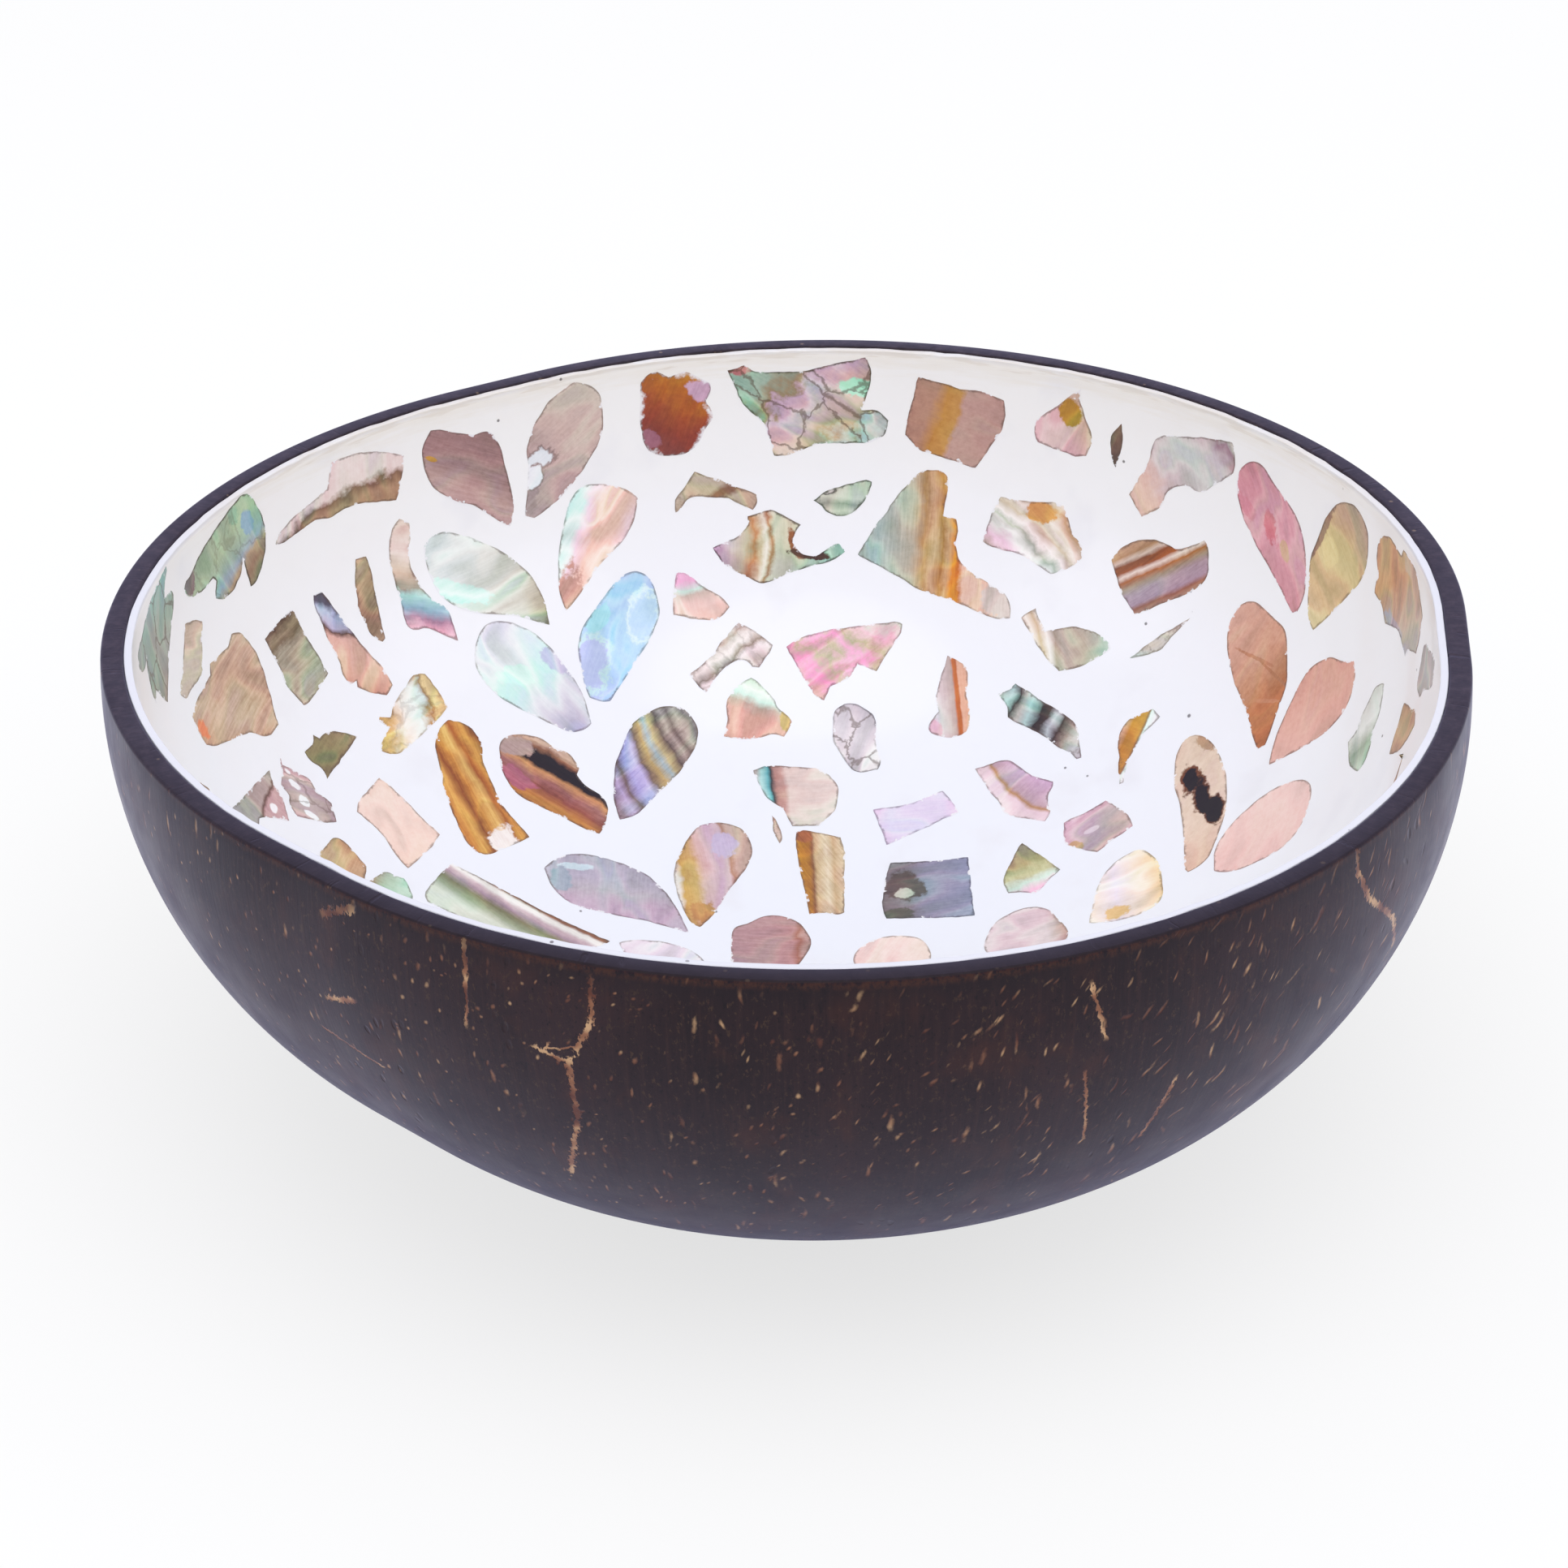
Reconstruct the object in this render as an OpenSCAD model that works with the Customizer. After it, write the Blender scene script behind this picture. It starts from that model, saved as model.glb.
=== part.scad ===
// Coconut shell bowl with a white lacquer lining and mother-of-pearl chips set flush in it.
// Millimetres. +Z is up, the origin is the middle of the flat base, +Y points to the far side.

/* [Bowl] */
// Width of the round bowl, before the ridges are added
round_w = 131.2; // [124:0.4:140]
// Radius of the side, as seen in a cut through the axis
side_r = 44.6; // [43:0.2:48]
// How far the widest place lies under the rim
widest_drop = 4.4; // [2:0.2:8]
// How much is sanded off the round bottom to make the flat base
base_cut = 0.6; // [0.3:0.1:1]

/* [Ridges] */
// How far the three soft ridges stand out, as the unit of a triangle of 5, 5 and 6
ridge_unit = 1.7; // [0.5:0.1:2.5]
// How far the ridges are turned from the symmetric place, in degrees
ridge_turn = -6; // [-60:1:60]

/* [Layers] */
// Thickness of the coconut shell
wall_t = 2.3; // [2:0.1:4]
// Thickness of the lacquer lining
lining_t = 0.8; // [0.6:0.1:1.6]
// Thickness of the mother-of-pearl chips
chip_t = 0.4; // [0.2:0.05:0.5]

/* [Hidden] */
$fn = 120;

// Ridges: the bowl is a round bowl swept round a small triangle of 5, 5 and 6 units
corners = ridge_unit * [[1.35, 3], [-2.65, 0], [1.35, -3]];
side_lengths = ridge_unit * [5, 5, 6];
side_turns = [90 + atan2(3, 4), 270 - atan2(3, 4), 0];
sides = len(corners);

// Profile: the arc of the side goes over smoothly into the wider arc of the bottom, because
// their centres are 5 units apart across and 12 units apart in height, and so 13 in a line
side_x = round_w / 2 - side_r;
joint_climb = atan2(5, 12);
bottom_r = side_r + 13 * side_x / 5;
bottom_z = bottom_r - base_cut;
widest_z = bottom_z - 12 * side_x / 5;
bowl_h = widest_z + widest_drop;
far = 2 * bottom_r;

// Overrun of every cut
over = 2;
// Lining face that the chips lie flush with, as an inset from the outside
face_inset = wall_t + lining_t;

// Chips: sizes are counted in this unit, outlines in hundredths of a chip's own size
chip_unit_share = 0.0762;
chip_unit = round_w * chip_unit_share;
hundred = 100;
// The front half repeats the rear half of the inlay, turned by this much
front_turn = 180;
$half_turn = 0;
$pocket = false;

// Place on the lining's face, which a turn round the axis and a climb up the wall state. The
// climb is 0 at the bottom and 90 at the widest place.

function round_at(climb) = climb < joint_climb
    ? (bottom_r - face_inset) * sin(climb)
    : side_x + (side_r - face_inset) * sin(climb);
function height_at(climb) = climb < joint_climb
    ? bottom_z - (bottom_r - face_inset) * cos(climb)
    : widest_z - (side_r - face_inset) * cos(climb);
// How far a point lies in a direction, and how far to the left of it
function ahead(p, turn) = p.x * cos(turn) + p.y * sin(turn);
function aside(p, turn) = p.y * cos(turn) - p.x * sin(turn);
// Distance from the axis to the face, where it is round a corner or the strip of a side
function round_reach(i, turn, r) = ahead(corners[i], turn)
    + sqrt(r * r - pow(aside(corners[i], turn), 2));
function strip_reach(i, turn, r) = (ahead(corners[i], side_turns[i]) + r)
    / cos(turn - side_turns[i]);
function on_strip(i, turn, r) = let (off = turn - side_turns[i],
        hit = strip_reach(i, turn, r) * sin(off))
    cos(off) > 0 && hit > aside(corners[(i + 1) % sides], side_turns[i])
        && hit < aside(corners[i], side_turns[i]);
// The strip or corner that a place lies on, its distance from the axis and the way it faces
function strips_at(turn, r) = [for (i = [0 : sides - 1]) if (on_strip(i, turn, r)) i];
function best_corner(turn, r) = let (reaches = [for (i = [0 : sides - 1]) round_reach(i, turn, r)])
    search(max(reaches), reaches)[0];
function reach_at(turn, r) = let (strips = strips_at(turn, r)) len(strips) > 0
    ? strip_reach(strips[0], turn, r)
    : round_reach(best_corner(turn, r), turn, r);
function face_at(turn, r) = let (strips = strips_at(turn, r), best = best_corner(turn, r),
        p = reach_at(turn, r) * toward(turn) - corners[best])
    len(strips) > 0 ? side_turns[strips[0]] : atan2(p.y, p.x);
function toward(turn) = [cos(turn), sin(turn)];

// Shell and layers

// Right half of a cut through the solid bowl, set in from the outside
module half_profile(inset) {
    intersection() {
        translate([0, -base_cut]) square([far, bowl_h + base_cut]);
        union() {
            intersection() {
                translate([0, bottom_z]) circle(r = bottom_r - inset);
                polygon([[0, bottom_z], [0, bottom_z - far], [5 * far / 12, bottom_z - far]]);
            }
            intersection() {
                translate([side_x, widest_z]) circle(r = side_r - inset);
                polygon([[0, bottom_z], [5 * far / 12, bottom_z - far], [far, bottom_z]]);
            }
        }
    }
}

// Cut through a layer between two insets
module layer_profile(outside, inside) {
    difference() {
        half_profile(outside);
        half_profile(inside);
    }
}

// A layer of the bowl: a round piece at each corner, a strip along each side and the middle
module layer(outside, inside) {
    rotate([0, 0, ridge_turn]) {
        for (i = [0 : sides - 1]) {
            before = side_turns[(i + sides - 1) % sides];
            translate(corners[i]) intersection() {
                rotate_extrude() layer_profile(outside, inside);
                translate([0, 0, -far]) linear_extrude(2 * far)
                    polygon(far * [[0, 0], toward(before), toward(before) + toward(side_turns[i]),
                        toward(side_turns[i])]);
            }
            translate(corners[(i + 1) % sides]) rotate([0, 0, side_turns[i]]) rotate([90, 0, 0])
                linear_extrude(side_lengths[i]) layer_profile(outside, inside);
        }
        translate([0, 0, outside - base_cut]) linear_extrude(inside - outside) polygon(corners);
    }
}

module coconut_shell() {
    color("#3a2c31") difference() {
        layer(0, wall_t);
        translate([-bottom_r, -bottom_r, -base_cut - over])
            cube([2 * bottom_r, 2 * bottom_r, base_cut + over]);
    }
}

module lacquer_lining() {
    color("#f1f1f6") difference() {
        layer(wall_t, face_inset);
        intersection() {
            layer(face_inset - chip_t, face_inset + 2 * over);
            all_chips($pocket = true);
        }
    }
}

// The chips' part of the lining's inner layer, or only their blocks where the pockets are cut
module inlay() {
    if ($pocket)
        children();
    else
        intersection() {
            layer(face_inset - chip_t, face_inset);
            children();
        }
}

// Upright block over a chip's outline, standing on the lining's face
// Outlines have +x to the right and +y to the far side, as seen from above
module chip(turn, climb, size_share, outline_shares) {
    r = round_at(climb);
    place = turn + $half_turn - ridge_turn;
    facing = face_at(place, r) + ridge_turn;
    translate(concat(reach_at(place, r) * toward(place + ridge_turn), height_at(climb)))
        rotate([0, 0, facing]) rotate([0, -climb, 0]) rotate([0, 0, $half_turn - facing])
            translate([0, 0, -2 * chip_t]) linear_extrude(over + 2 * chip_t)
                polygon([for (p = outline_shares) p * size_share * chip_unit / hundred]);
}

// Leaves of the left spray, from the rim to the bottom

module mauve_leaf() color("#9c7e82") inlay()
    chip(125, 83, size_share = 1.2, outline_shares = [[-60, 29], [-50, 33], [-26, 36], [-10, 40],
        [-3, 47], [6, 48], [22, 38], [50, 3], [60, -10], [63, -31], [39, -28], [20, -23], [3, -26],
        [-16, -25], [-33, -21], [-48, -8], [-60, 8]]);

module taupe_leaf() color("#b8a9a4") inlay()
    chip(114, 83, size_share = 1.6, outline_shares = [[-15, 52], [0, 53], [9, 50], [18, 37],
        [24, 24], [24, 12], [21, -4], [15, -21], [7, -37], [-6, -52], [-14, -52], [-17, -36],
        [-24, -15], [-30, -8], [-32, 10], [-28, 33]]);

module green_leaf() color("#b9ccc0") inlay()
    chip(125, 66, size_share = 1.5, outline_shares = [[-60, 7], [-56, 17], [-48, 23], [-30, 26],
        [-13, 26], [8, 24], [34, 15], [50, 0], [60, -19], [29, -20], [15, -24], [0, -28],
        [-16, -29], [-35, -25], [-50, -10]]);

module peach_leaf() color("#e3c6bb") inlay()
    chip(111, 66, size_share = 1.5, outline_shares = [[-37, 29], [-33, 40], [-25, 47], [-3, 51],
        [10, 50], [18, 46], [20, 30], [15, 10], [0, -13], [-11, -39], [-20, -55], [-29, -39],
        [-36, -10]]);

module white_leaf() color("#cdd6e0") inlay()
    chip(123, 49, size_share = 1.4, outline_shares = [[-56, 14], [-54, 26], [-46, 35], [-29, 39],
        [-10, 37], [10, 27], [33, 7], [44, -7], [53, -30], [48, -38], [37, -43], [7, -36],
        [-26, -28], [-47, -15], [-55, -2]]);

module blue_leaf() color("#9dc5e2") inlay()
    chip(111, 52, size_share = 1.6, outline_shares = [[-7, 42], [0, 48], [7, 50], [15, 47],
        [23, 36], [28, 23], [24, 2], [11, -28], [5, -42], [0, -53], [-7, -55], [-16, -54],
        [-21, -45], [-30, -18], [-29, -2], [-16, 26]]);

module rust_leaf() color("#a5623f") inlay()
    chip(128, 30.3, size_share = 1.4, outline_shares = [[-50, 28], [-47, 33], [-39, 39], [-29, 42],
        [-13, 42], [-7, 37], [10, 34], [20, 22], [18, 15], [25, 6], [42, -2], [47, -12], [45, -34],
        [41, -42], [30, -40], [7, -29], [-23, -20], [-33, -15], [-46, 5]]);

module rainbow_leaf() color("#8d8391") inlay()
    chip(111, 29.3, size_share = 1.7, outline_shares = [[10, 46], [18, 44], [27, 32], [26, 16],
        [16, -7], [3, -26], [-11, -49], [-23, -56], [-28, -39], [-29, -10], [-20, 26], [-11, 36],
        [0, 44]]);

module lavender_leaf() color("#b3a6c0") inlay()
    chip(133, 15.7, size_share = 1.6, outline_shares = [[-54, 15], [-49, 24], [-39, 33], [-26, 36],
        [-13, 35], [3, 31], [20, 23], [33, 8], [42, -10], [51, -33], [39, -29], [23, -24],
        [-10, -20], [-26, -18], [-37, -13], [-47, -3]]);

module ochre_leaf() color("#c59a8c") inlay()
    chip(110, 14.8, size_share = 1.7, outline_shares = [[-10, 46], [0, 50], [10, 50], [20, 46],
        [25, 36], [27, 24], [23, 10], [11, -13], [7, -26], [0, -41], [-7, -52], [-13, -49],
        [-18, -37], [-23, -21], [-26, -3], [-25, 10], [-21, 23], [-16, 36]]);

module pale_leaf() color("#d9cfd8") inlay()
    chip(141, 10.2, size_share = 1.1, outline_shares = [[-34, 6], [-27, 10], [-13, 14], [10, 14],
        [26, 10], [42, 2], [52, -11], [60, -30], [30, -32], [0, -30], [-20, -22], [-31, -6]]);

module dusky_leaf() color("#b28c93") inlay()
    chip(100, 7.4, size_share = 1, outline_shares = [[-44, 16], [-39, 23], [-29, 26], [-10, 42],
        [7, 45], [20, 41], [33, 31], [46, 3], [44, -10], [33, -37], [22, -60], [5, -72], [-15, -75],
        [-32, -62], [-47, -39], [-44, -21], [-46, -3]]);

// Leaves of the right spray, from the rim to the bottom

module rose_leaf() color("#c78b98") inlay()
    chip(37, 80, size_share = 1.4, outline_shares = [[0, 54], [8, 58], [18, 58], [28, 54], [34, 46],
        [33, 26], [37, -3], [34, -20], [26, -37], [16, -51], [8, -62], [-7, -69], [-13, -66],
        [-15, -36], [-18, -3], [-17, 26], [-9, 45]]);

module olive_leaf() color("#c2a578") inlay()
    chip(26, 82, size_share = 1.7, outline_shares = [[-49, -11], [-49, -2], [-42, 8], [-31, 20],
        [-20, 28], [-5, 30], [10, 32], [26, 29], [37, 23], [46, 11], [47, 0], [44, -10], [33, -18],
        [20, -23], [7, -23], [-7, -19], [-33, -14]]);

module veined_leaf() color("#c98a62") inlay()
    chip(32, 59, size_share = 1.6, outline_shares = [[7, 58], [16, 57], [24, 51], [33, 26],
        [37, 20], [35, 10], [25, -11], [21, -20], [3, -37], [-11, -52], [-18, -51], [-19, -36],
        [-18, -16], [-20, 10], [-16, 36], [-10, 47], [-2, 55]]);

module salmon_leaf() color("#dba394") inlay()
    chip(22, 60, size_share = 1.3, outline_shares = [[-57, -11], [-52, -2], [-42, 11], [-29, 21],
        [-3, 36], [15, 40], [26, 37], [42, 30], [47, 23], [52, 13], [66, 0], [64, -7], [59, -16],
        [49, -24], [36, -30], [20, -31], [3, -29], [-23, -21], [-39, -16]]);

module blotched_leaf() color("#d8b9a4") inlay()
    chip(28, 38.2, size_share = 1.9, outline_shares = [[0, 52], [7, 52], [13, 46], [18, 36], [20, 23],
        [20, 10], [15, -15], [10, -24], [-2, -46], [-8, -49], [-16, -50], [-18, -46], [-15, -20],
        [-13, 10], [-14, 23], [-8, 44]]);

module blush_leaf() color("#eec8c4") inlay()
    chip(16, 43, size_share = 1.5, outline_shares = [[-44, -3], [-43, 7], [-38, 15], [-29, 23],
        [-16, 29], [0, 32], [16, 31], [29, 26], [41, 18], [48, 7], [47, -3], [42, -13], [34, -24],
        [23, -32], [13, -34], [0, -33], [-26, -27], [-39, -21], [-46, -13]]);

module gold_leaf() color("#efdcb4") inlay()
    chip(25, 22.1, size_share = 1.3, outline_shares = [[-39, -39], [-34, -20], [-29, 0], [-23, 16],
        [-10, 31], [3, 37], [13, 39], [20, 34], [26, 23], [30, 10], [29, -29], [23, -42], [5, -48],
        [-20, -46]]);

module shell_pink_leaf() color("#ddc2c2") inlay()
    chip(29, 14.8, size_share = 0.9, outline_shares = [[-57, -26], [-54, -10], [-47, 10], [-39, 23],
        [-23, 34], [-10, 39], [5, 41], [20, 36], [31, 26], [39, 3], [46, -10], [50, -28], [44, -50],
        [25, -66], [0, -70], [-25, -64], [-48, -46]]);

module cream_leaf() color("#ecd5cd") inlay()
    chip(53, 7.4, size_share = 0.9, outline_shares = [[-52, -23], [-49, -7], [-39, 7], [-23, 18],
        [-3, 22], [16, 20], [33, 13], [41, 0], [45, -16], [46, -28], [40, -50], [20, -68],
        [-5, -72], [-30, -62], [-47, -42]]);

// Shards along the rear wall, from left to right

module green_lobes() color("#88a48e") inlay()
    chip(157, 89.2, size_share = 1.3, outline_shares = [[-23, 23], [-21, 40], [-16, 47], [-3, 52],
        [16, 53], [33, 49], [46, 39], [54, 26], [58, 10], [55, 4], [45, 8], [29, 13], [37, 3],
        [39, -13], [34, -29], [23, -38], [18, -34], [13, -27], [7, -29], [2, -46], [-8, -62],
        [-16, -69], [-26, -69], [-29, -62], [-25, -54], [-27, -33]]);

module horn_crescent() color("#a58f7d") inlay()
    chip(140, 86, size_share = 1.7, outline_shares = [[-26, 16], [-16, 26], [-3, 36], [10, 44],
        [26, 50], [33, 42], [41, 23], [26, 13], [16, 7], [3, -7], [-2, -15], [-13, -21], [-18, -29],
        [-31, -49], [-37, -52], [-39, -46], [-34, -33], [-16, 0], [-21, 8]]);

module amber_flake() color("#a4552e") inlay()
    chip(102, 86, size_share = 1, outline_shares = [[-50, 36], [-44, 46], [-33, 51], [-18, 46],
        [-8, 53], [-2, 57], [10, 54], [34, 47], [37, 36], [34, 24], [47, 10], [48, 2], [42, -5],
        [39, -20], [33, -36], [23, -44], [10, -48], [-7, -50], [-21, -46], [-29, -37], [-39, -10]]);

module green_abalone() color("#9aa79b") inlay()
    chip(88, 86, size_share = 1.9, outline_shares = [[-52, 26], [-41, 29], [-36, 24], [-7, 23],
        [15, 29], [33, 33], [37, 26], [37, 16], [31, -2], [41, -2], [48, -8], [45, -18], [36, -23],
        [3, -24], [-13, -31], [-23, -31], [-29, -10], [-42, 2]]);

module taupe_hexagon() color("#b58f80") inlay()
    chip(74, 84, size_share = 1.2, outline_shares = [[-47, -3], [-39, 16], [-20, 53], [10, 39],
        [21, 33], [39, 28], [59, 16], [57, -2], [49, -15], [16, -47], [-36, -21], [-42, -11]]);

module olive_pink_shard() color("#c2a28c") inlay()
    chip(62, 87, size_share = 0.8, outline_shares = [[-55, -12], [-55, 3], [-47, 18], [-29, 23],
        [-3, 29], [47, 43], [34, 26], [34, 10], [31, -3], [34, -20], [29, -36], [10, -54],
        [-7, -50], [-36, -29]]);

module grey_pink_abalone() color("#c9bcbb") inlay()
    chip(49, 84, size_share = 1.4, outline_shares = [[-56, 7], [-29, 20], [-20, 23], [-15, 29],
        [-7, 34], [3, 33], [36, 15], [52, 5], [64, -3], [62, -10], [55, -20], [49, -24], [13, -24],
        [5, -21], [0, -13], [-10, -8], [-23, -8], [-34, -16], [-55, -15]]);

module brown_streak() color("#b39a88") inlay()
    chip(14, 86, size_share = 1.2, outline_shares = [[-29, 46], [-23, 49], [-13, 49], [0, 59],
        [13, 61], [26, 57], [36, 42], [37, 11], [46, 7], [51, -23], [48, -39], [37, -51], [29, -67],
        [-8, -73], [-20, -51], [-29, -49], [-24, -16], [-38, 11], [-29, 29]]);

// Shards between the two sprays, from the wall down to the bottom

module beige_hook() color("#bda189") inlay()
    chip(98, 72, size_share = 1, outline_shares = [[-29, 25], [-13, 21], [0, 21], [20, 13], [49, 7],
        [51, -3], [46, -13], [33, -8], [16, -2], [-16, -3], [-29, -5], [-36, -11], [-40, -21],
        [-46, -26], [-49, -10], [-37, 8], [-34, 18]]);

module green_half_moon() color("#8a9a8d") inlay()
    chip(85, 71, size_share = 0.7, outline_shares = [[-46, -5], [-36, 0], [-29, 8], [-16, 13],
        [3, 16], [13, 21], [46, 27], [55, 23], [49, 0], [39, -13], [26, -24], [10, -33], [-3, -35],
        [-16, -31], [-26, -24], [-31, -15]]);

module bitten_shard() color("#a89a8b") inlay()
    chip(91, 63, size_share = 1.6, outline_shares = [[-52, -3], [-42, 2], [-33, 7], [-26, 15],
        [-27, 21], [-10, 27], [13, 16], [8, 11], [7, 3], [13, -5], [23, -8], [29, -5], [36, 2],
        [41, 3], [46, -3], [41, -8], [26, -13], [10, -18], [-3, -24], [-16, -29], [-44, -15]]);

module big_triangle() color("#c99f79") inlay()
    chip(75, 64, size_share = 1.9, outline_shares = [[-47, 0], [-33, 16], [-13, 36], [-3, 44],
        [3, 46], [13, 44], [17, 39], [16, 33], [10, 16], [18, 13], [18, 7], [15, -3], [16, -13],
        [24, -23], [42, -37], [45, -45], [44, -53], [36, -53], [16, -41], [-10, -28], [-36, -8]]);

module striped_diamond() color("#cfc8bd") inlay()
    chip(64, 68, size_share = 1.2, outline_shares = [[-54, 7], [-46, 20], [-36, 34], [-24, 44],
        [-13, 39], [0, 33], [29, 24], [37, 18], [37, -10], [44, -23], [41, -36], [29, -41],
        [5, -42], [-3, -33], [-23, -13], [-49, 0]]);

module striped_flag() color("#a5826c") inlay()
    chip(49, 67, size_share = 1.2, outline_shares = [[-44, 36], [-33, 42], [-16, 42], [-3, 39],
        [10, 33], [26, 13], [42, 10], [59, 8], [60, 0], [52, -20], [39, -29], [26, -31], [3, -28],
        [-41, -24], [-47, 3]]);

module bone_shard() color("#b9aaa8") inlay()
    chip(98, 45, size_share = 1, outline_shares = [[8, 46], [33, 34], [51, 21], [48, 11], [36, -8],
        [28, -8], [24, -2], [18, 0], [7, -3], [-3, -11], [-16, -29], [-21, -39], [-25, -46],
        [-33, -40], [-47, -26], [-42, -20], [-33, -13], [-20, 2], [-10, 20]]);

module bright_pink_shard() color("#e09fb0") inlay()
    chip(84, 44, size_share = 1.4, outline_shares = [[-47, 12], [-36, 20], [-23, 23], [-7, 27],
        [26, 29], [46, 31], [52, 28], [51, 20], [34, -3], [29, -13], [13, -5], [5, -18], [-11, -24],
        [-16, -37], [-23, -34], [-42, 2]]);

module mint_peach_shard() color("#cdb2a4") inlay()
    chip(95, 36.2, size_share = 0.8, outline_shares = [[-10, 46], [0, 41], [26, 13], [29, 0],
        [42, -10], [52, -23], [41, -49], [26, -44], [-3, -54], [-20, -56], [-48, -54], [-42, -26],
        [-46, 5], [-39, 20], [-26, 36]]);

module silver_crystal() color("#c3c4c6") inlay()
    chip(81, 30.3, size_share = 1, outline_shares = [[-23, 39], [-10, 45], [2, 42], [20, 29],
        [23, 16], [21, -16], [28, -36], [23, -49], [2, -52], [-8, -47], [-21, -23], [-29, -7],
        [-28, 26]]);

module orange_bar() color("#d3b6a4") inlay()
    chip(70, 39, size_share = 1.1, outline_shares = [[5, 47], [13, 42], [23, 33], [26, 26],
        [20, -3], [23, -23], [21, -39], [15, -48], [0, -51], [-13, -46], [-23, -39], [-24, -31],
        [-11, -16], [-13, -3], [-3, 29]]);

module black_bar() color("#8f9392") inlay()
    chip(57, 38.2, size_share = 1, outline_shares = [[-43, 49], [-29, 49], [-20, 56], [3, 29],
        [29, 3], [39, -13], [44, -23], [43, -64], [37, -64], [29, -51], [16, -39], [10, -29],
        [-16, -3], [-36, 16], [-34, 29]]);

module fish_shard() color("#a9a295") inlay()
    chip(58, 52, size_share = 1.1, outline_shares = [[-38, 39], [-31, 42], [-20, 45], [-20, 33],
        [-16, 17], [-3, 16], [13, 13], [29, 5], [42, -7], [52, -20], [51, -26], [39, -29],
        [10, -34], [-11, -31], [-20, -16], [-26, 0], [-33, 20]]);

module pink_lips() color("#caa5a4") inlay()
    chip(55, 25.7, size_share = 0.9, outline_shares = [[-52, 45], [-39, 46], [-16, 50], [-3, 46],
        [7, 33], [16, 20], [38, 3], [47, -3], [46, -13], [38, -23], [36, -39], [39, -51], [31, -65],
        [16, -59], [-13, -44], [-23, -33], [-24, -20], [-33, -3], [-46, 33]]);

module pink_brown_shard() color("#b9928d") inlay()
    chip(39, 25.7, size_share = 0.8, outline_shares = [[-50, 24], [-42, 28], [-20, 31], [16, 42],
        [23, 33], [36, 16], [44, 0], [49, -23], [13, -37], [-8, -52], [-29, -39], [-51, -20],
        [-52, 0]]);

module lavender_oblong() color("#d8d2e6") inlay()
    chip(68, 19.4, size_share = 1, outline_shares = [[-50, 19], [-23, 21], [-3, 24], [16, 33],
        [32, 38], [49, 2], [10, -15], [-13, -26], [-37, -37]]);

module grey_square() color("#8b8c97") inlay()
    chip(58, 13.9, size_share = 1.1, outline_shares = [[-40, 38], [10, 34], [41, 33], [42, -23],
        [43, -57], [3, -52], [-47, -46], [-52, -23], [-49, -7], [-44, 26]]);

module olive_kite() color("#a89f7e") inlay()
    chip(42, 18.5, size_share = 0.9, outline_shares = [[-11, 47], [-8, 50], [0, 39], [13, 20],
        [36, -13], [21, -26], [2, -47], [-21, -37], [-33, -37], [-38, -10], [-24, 23]]);

module teal_beige_shard() color("#cdbab3") inlay()
    chip(90, 20.3, size_share = 1.2, outline_shares = [[-41, 37], [-29, 43], [-10, 44], [23, 42],
        [33, 33], [42, 20], [41, -3], [37, -13], [23, -31], [-3, -32], [-11, -10], [-29, 5]]);

module ochre_fan() color("#b98a55") inlay()
    chip(85, 13.9, size_share = 1.4, outline_shares = [[-17, 42], [-11, 45], [-3, 43], [20, 36],
        [23, 16], [22, -3], [21, -52], [16, -55], [3, -52], [-7, -54], [-9, -39], [-15, 3],
        [-17, 26]]);

// Shards on the left wall

module left_wall_shards() color("#c08d63") inlay() {
    // Orange fin
    chip(162, 69, size_share = 1.2, outline_shares = [[-31, 42], [-21, 54], [-7, 56], [10, 54],
        [26, 47], [42, 36], [64, 16], [60, 0], [52, -10], [39, -16], [29, -29], [3, -68],
        [-10, -80], [-25, -78], [-39, -72], [-40, -52], [-33, -13], [-40, -5], [-26, 29]]);
    // Gold shard
    chip(140, 50, size_share = 1.1, outline_shares = [[-10, 42], [0, 47], [10, 41], [35, 23],
        [29, 8], [12, -25], [0, -44], [-7, -54], [-16, -58], [-27, -60], [-29, -53], [-23, -29],
        [-36, -28], [-37, -23], [-24, -18], [-24, 0], [-15, 33]]);
    // Olive shard
    chip(154, 51, size_share = 0.7, outline_shares = [[37, 67], [26, 29], [5, -44], [-3, -34],
        [-16, -31], [-29, -33], [-47, -24], [-36, 3], [-42, 16], [-29, 18], [-23, 33], [-7, 49]]);
    // Green star, which has no copy in the front half
    if ($half_turn == 0)
        chip(174, 87, size_share = 1.6, outline_shares = [[-33, 39], [-29, 40], [-20, 33],
            [-13, 31], [-11, 44], [-6, 47], [3, 43], [11, 33], [23, 20], [33, 7], [43, -8],
            [36, -13], [28, -16], [24, -21], [30, -28], [23, -30], [13, -28], [3, -26], [-3, -23],
            [0, -33], [-3, -41], [-11, -48], [-20, -47], [-21, -26], [-25, -13],
            [-29, 0], [-30, 16]]);
}

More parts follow.
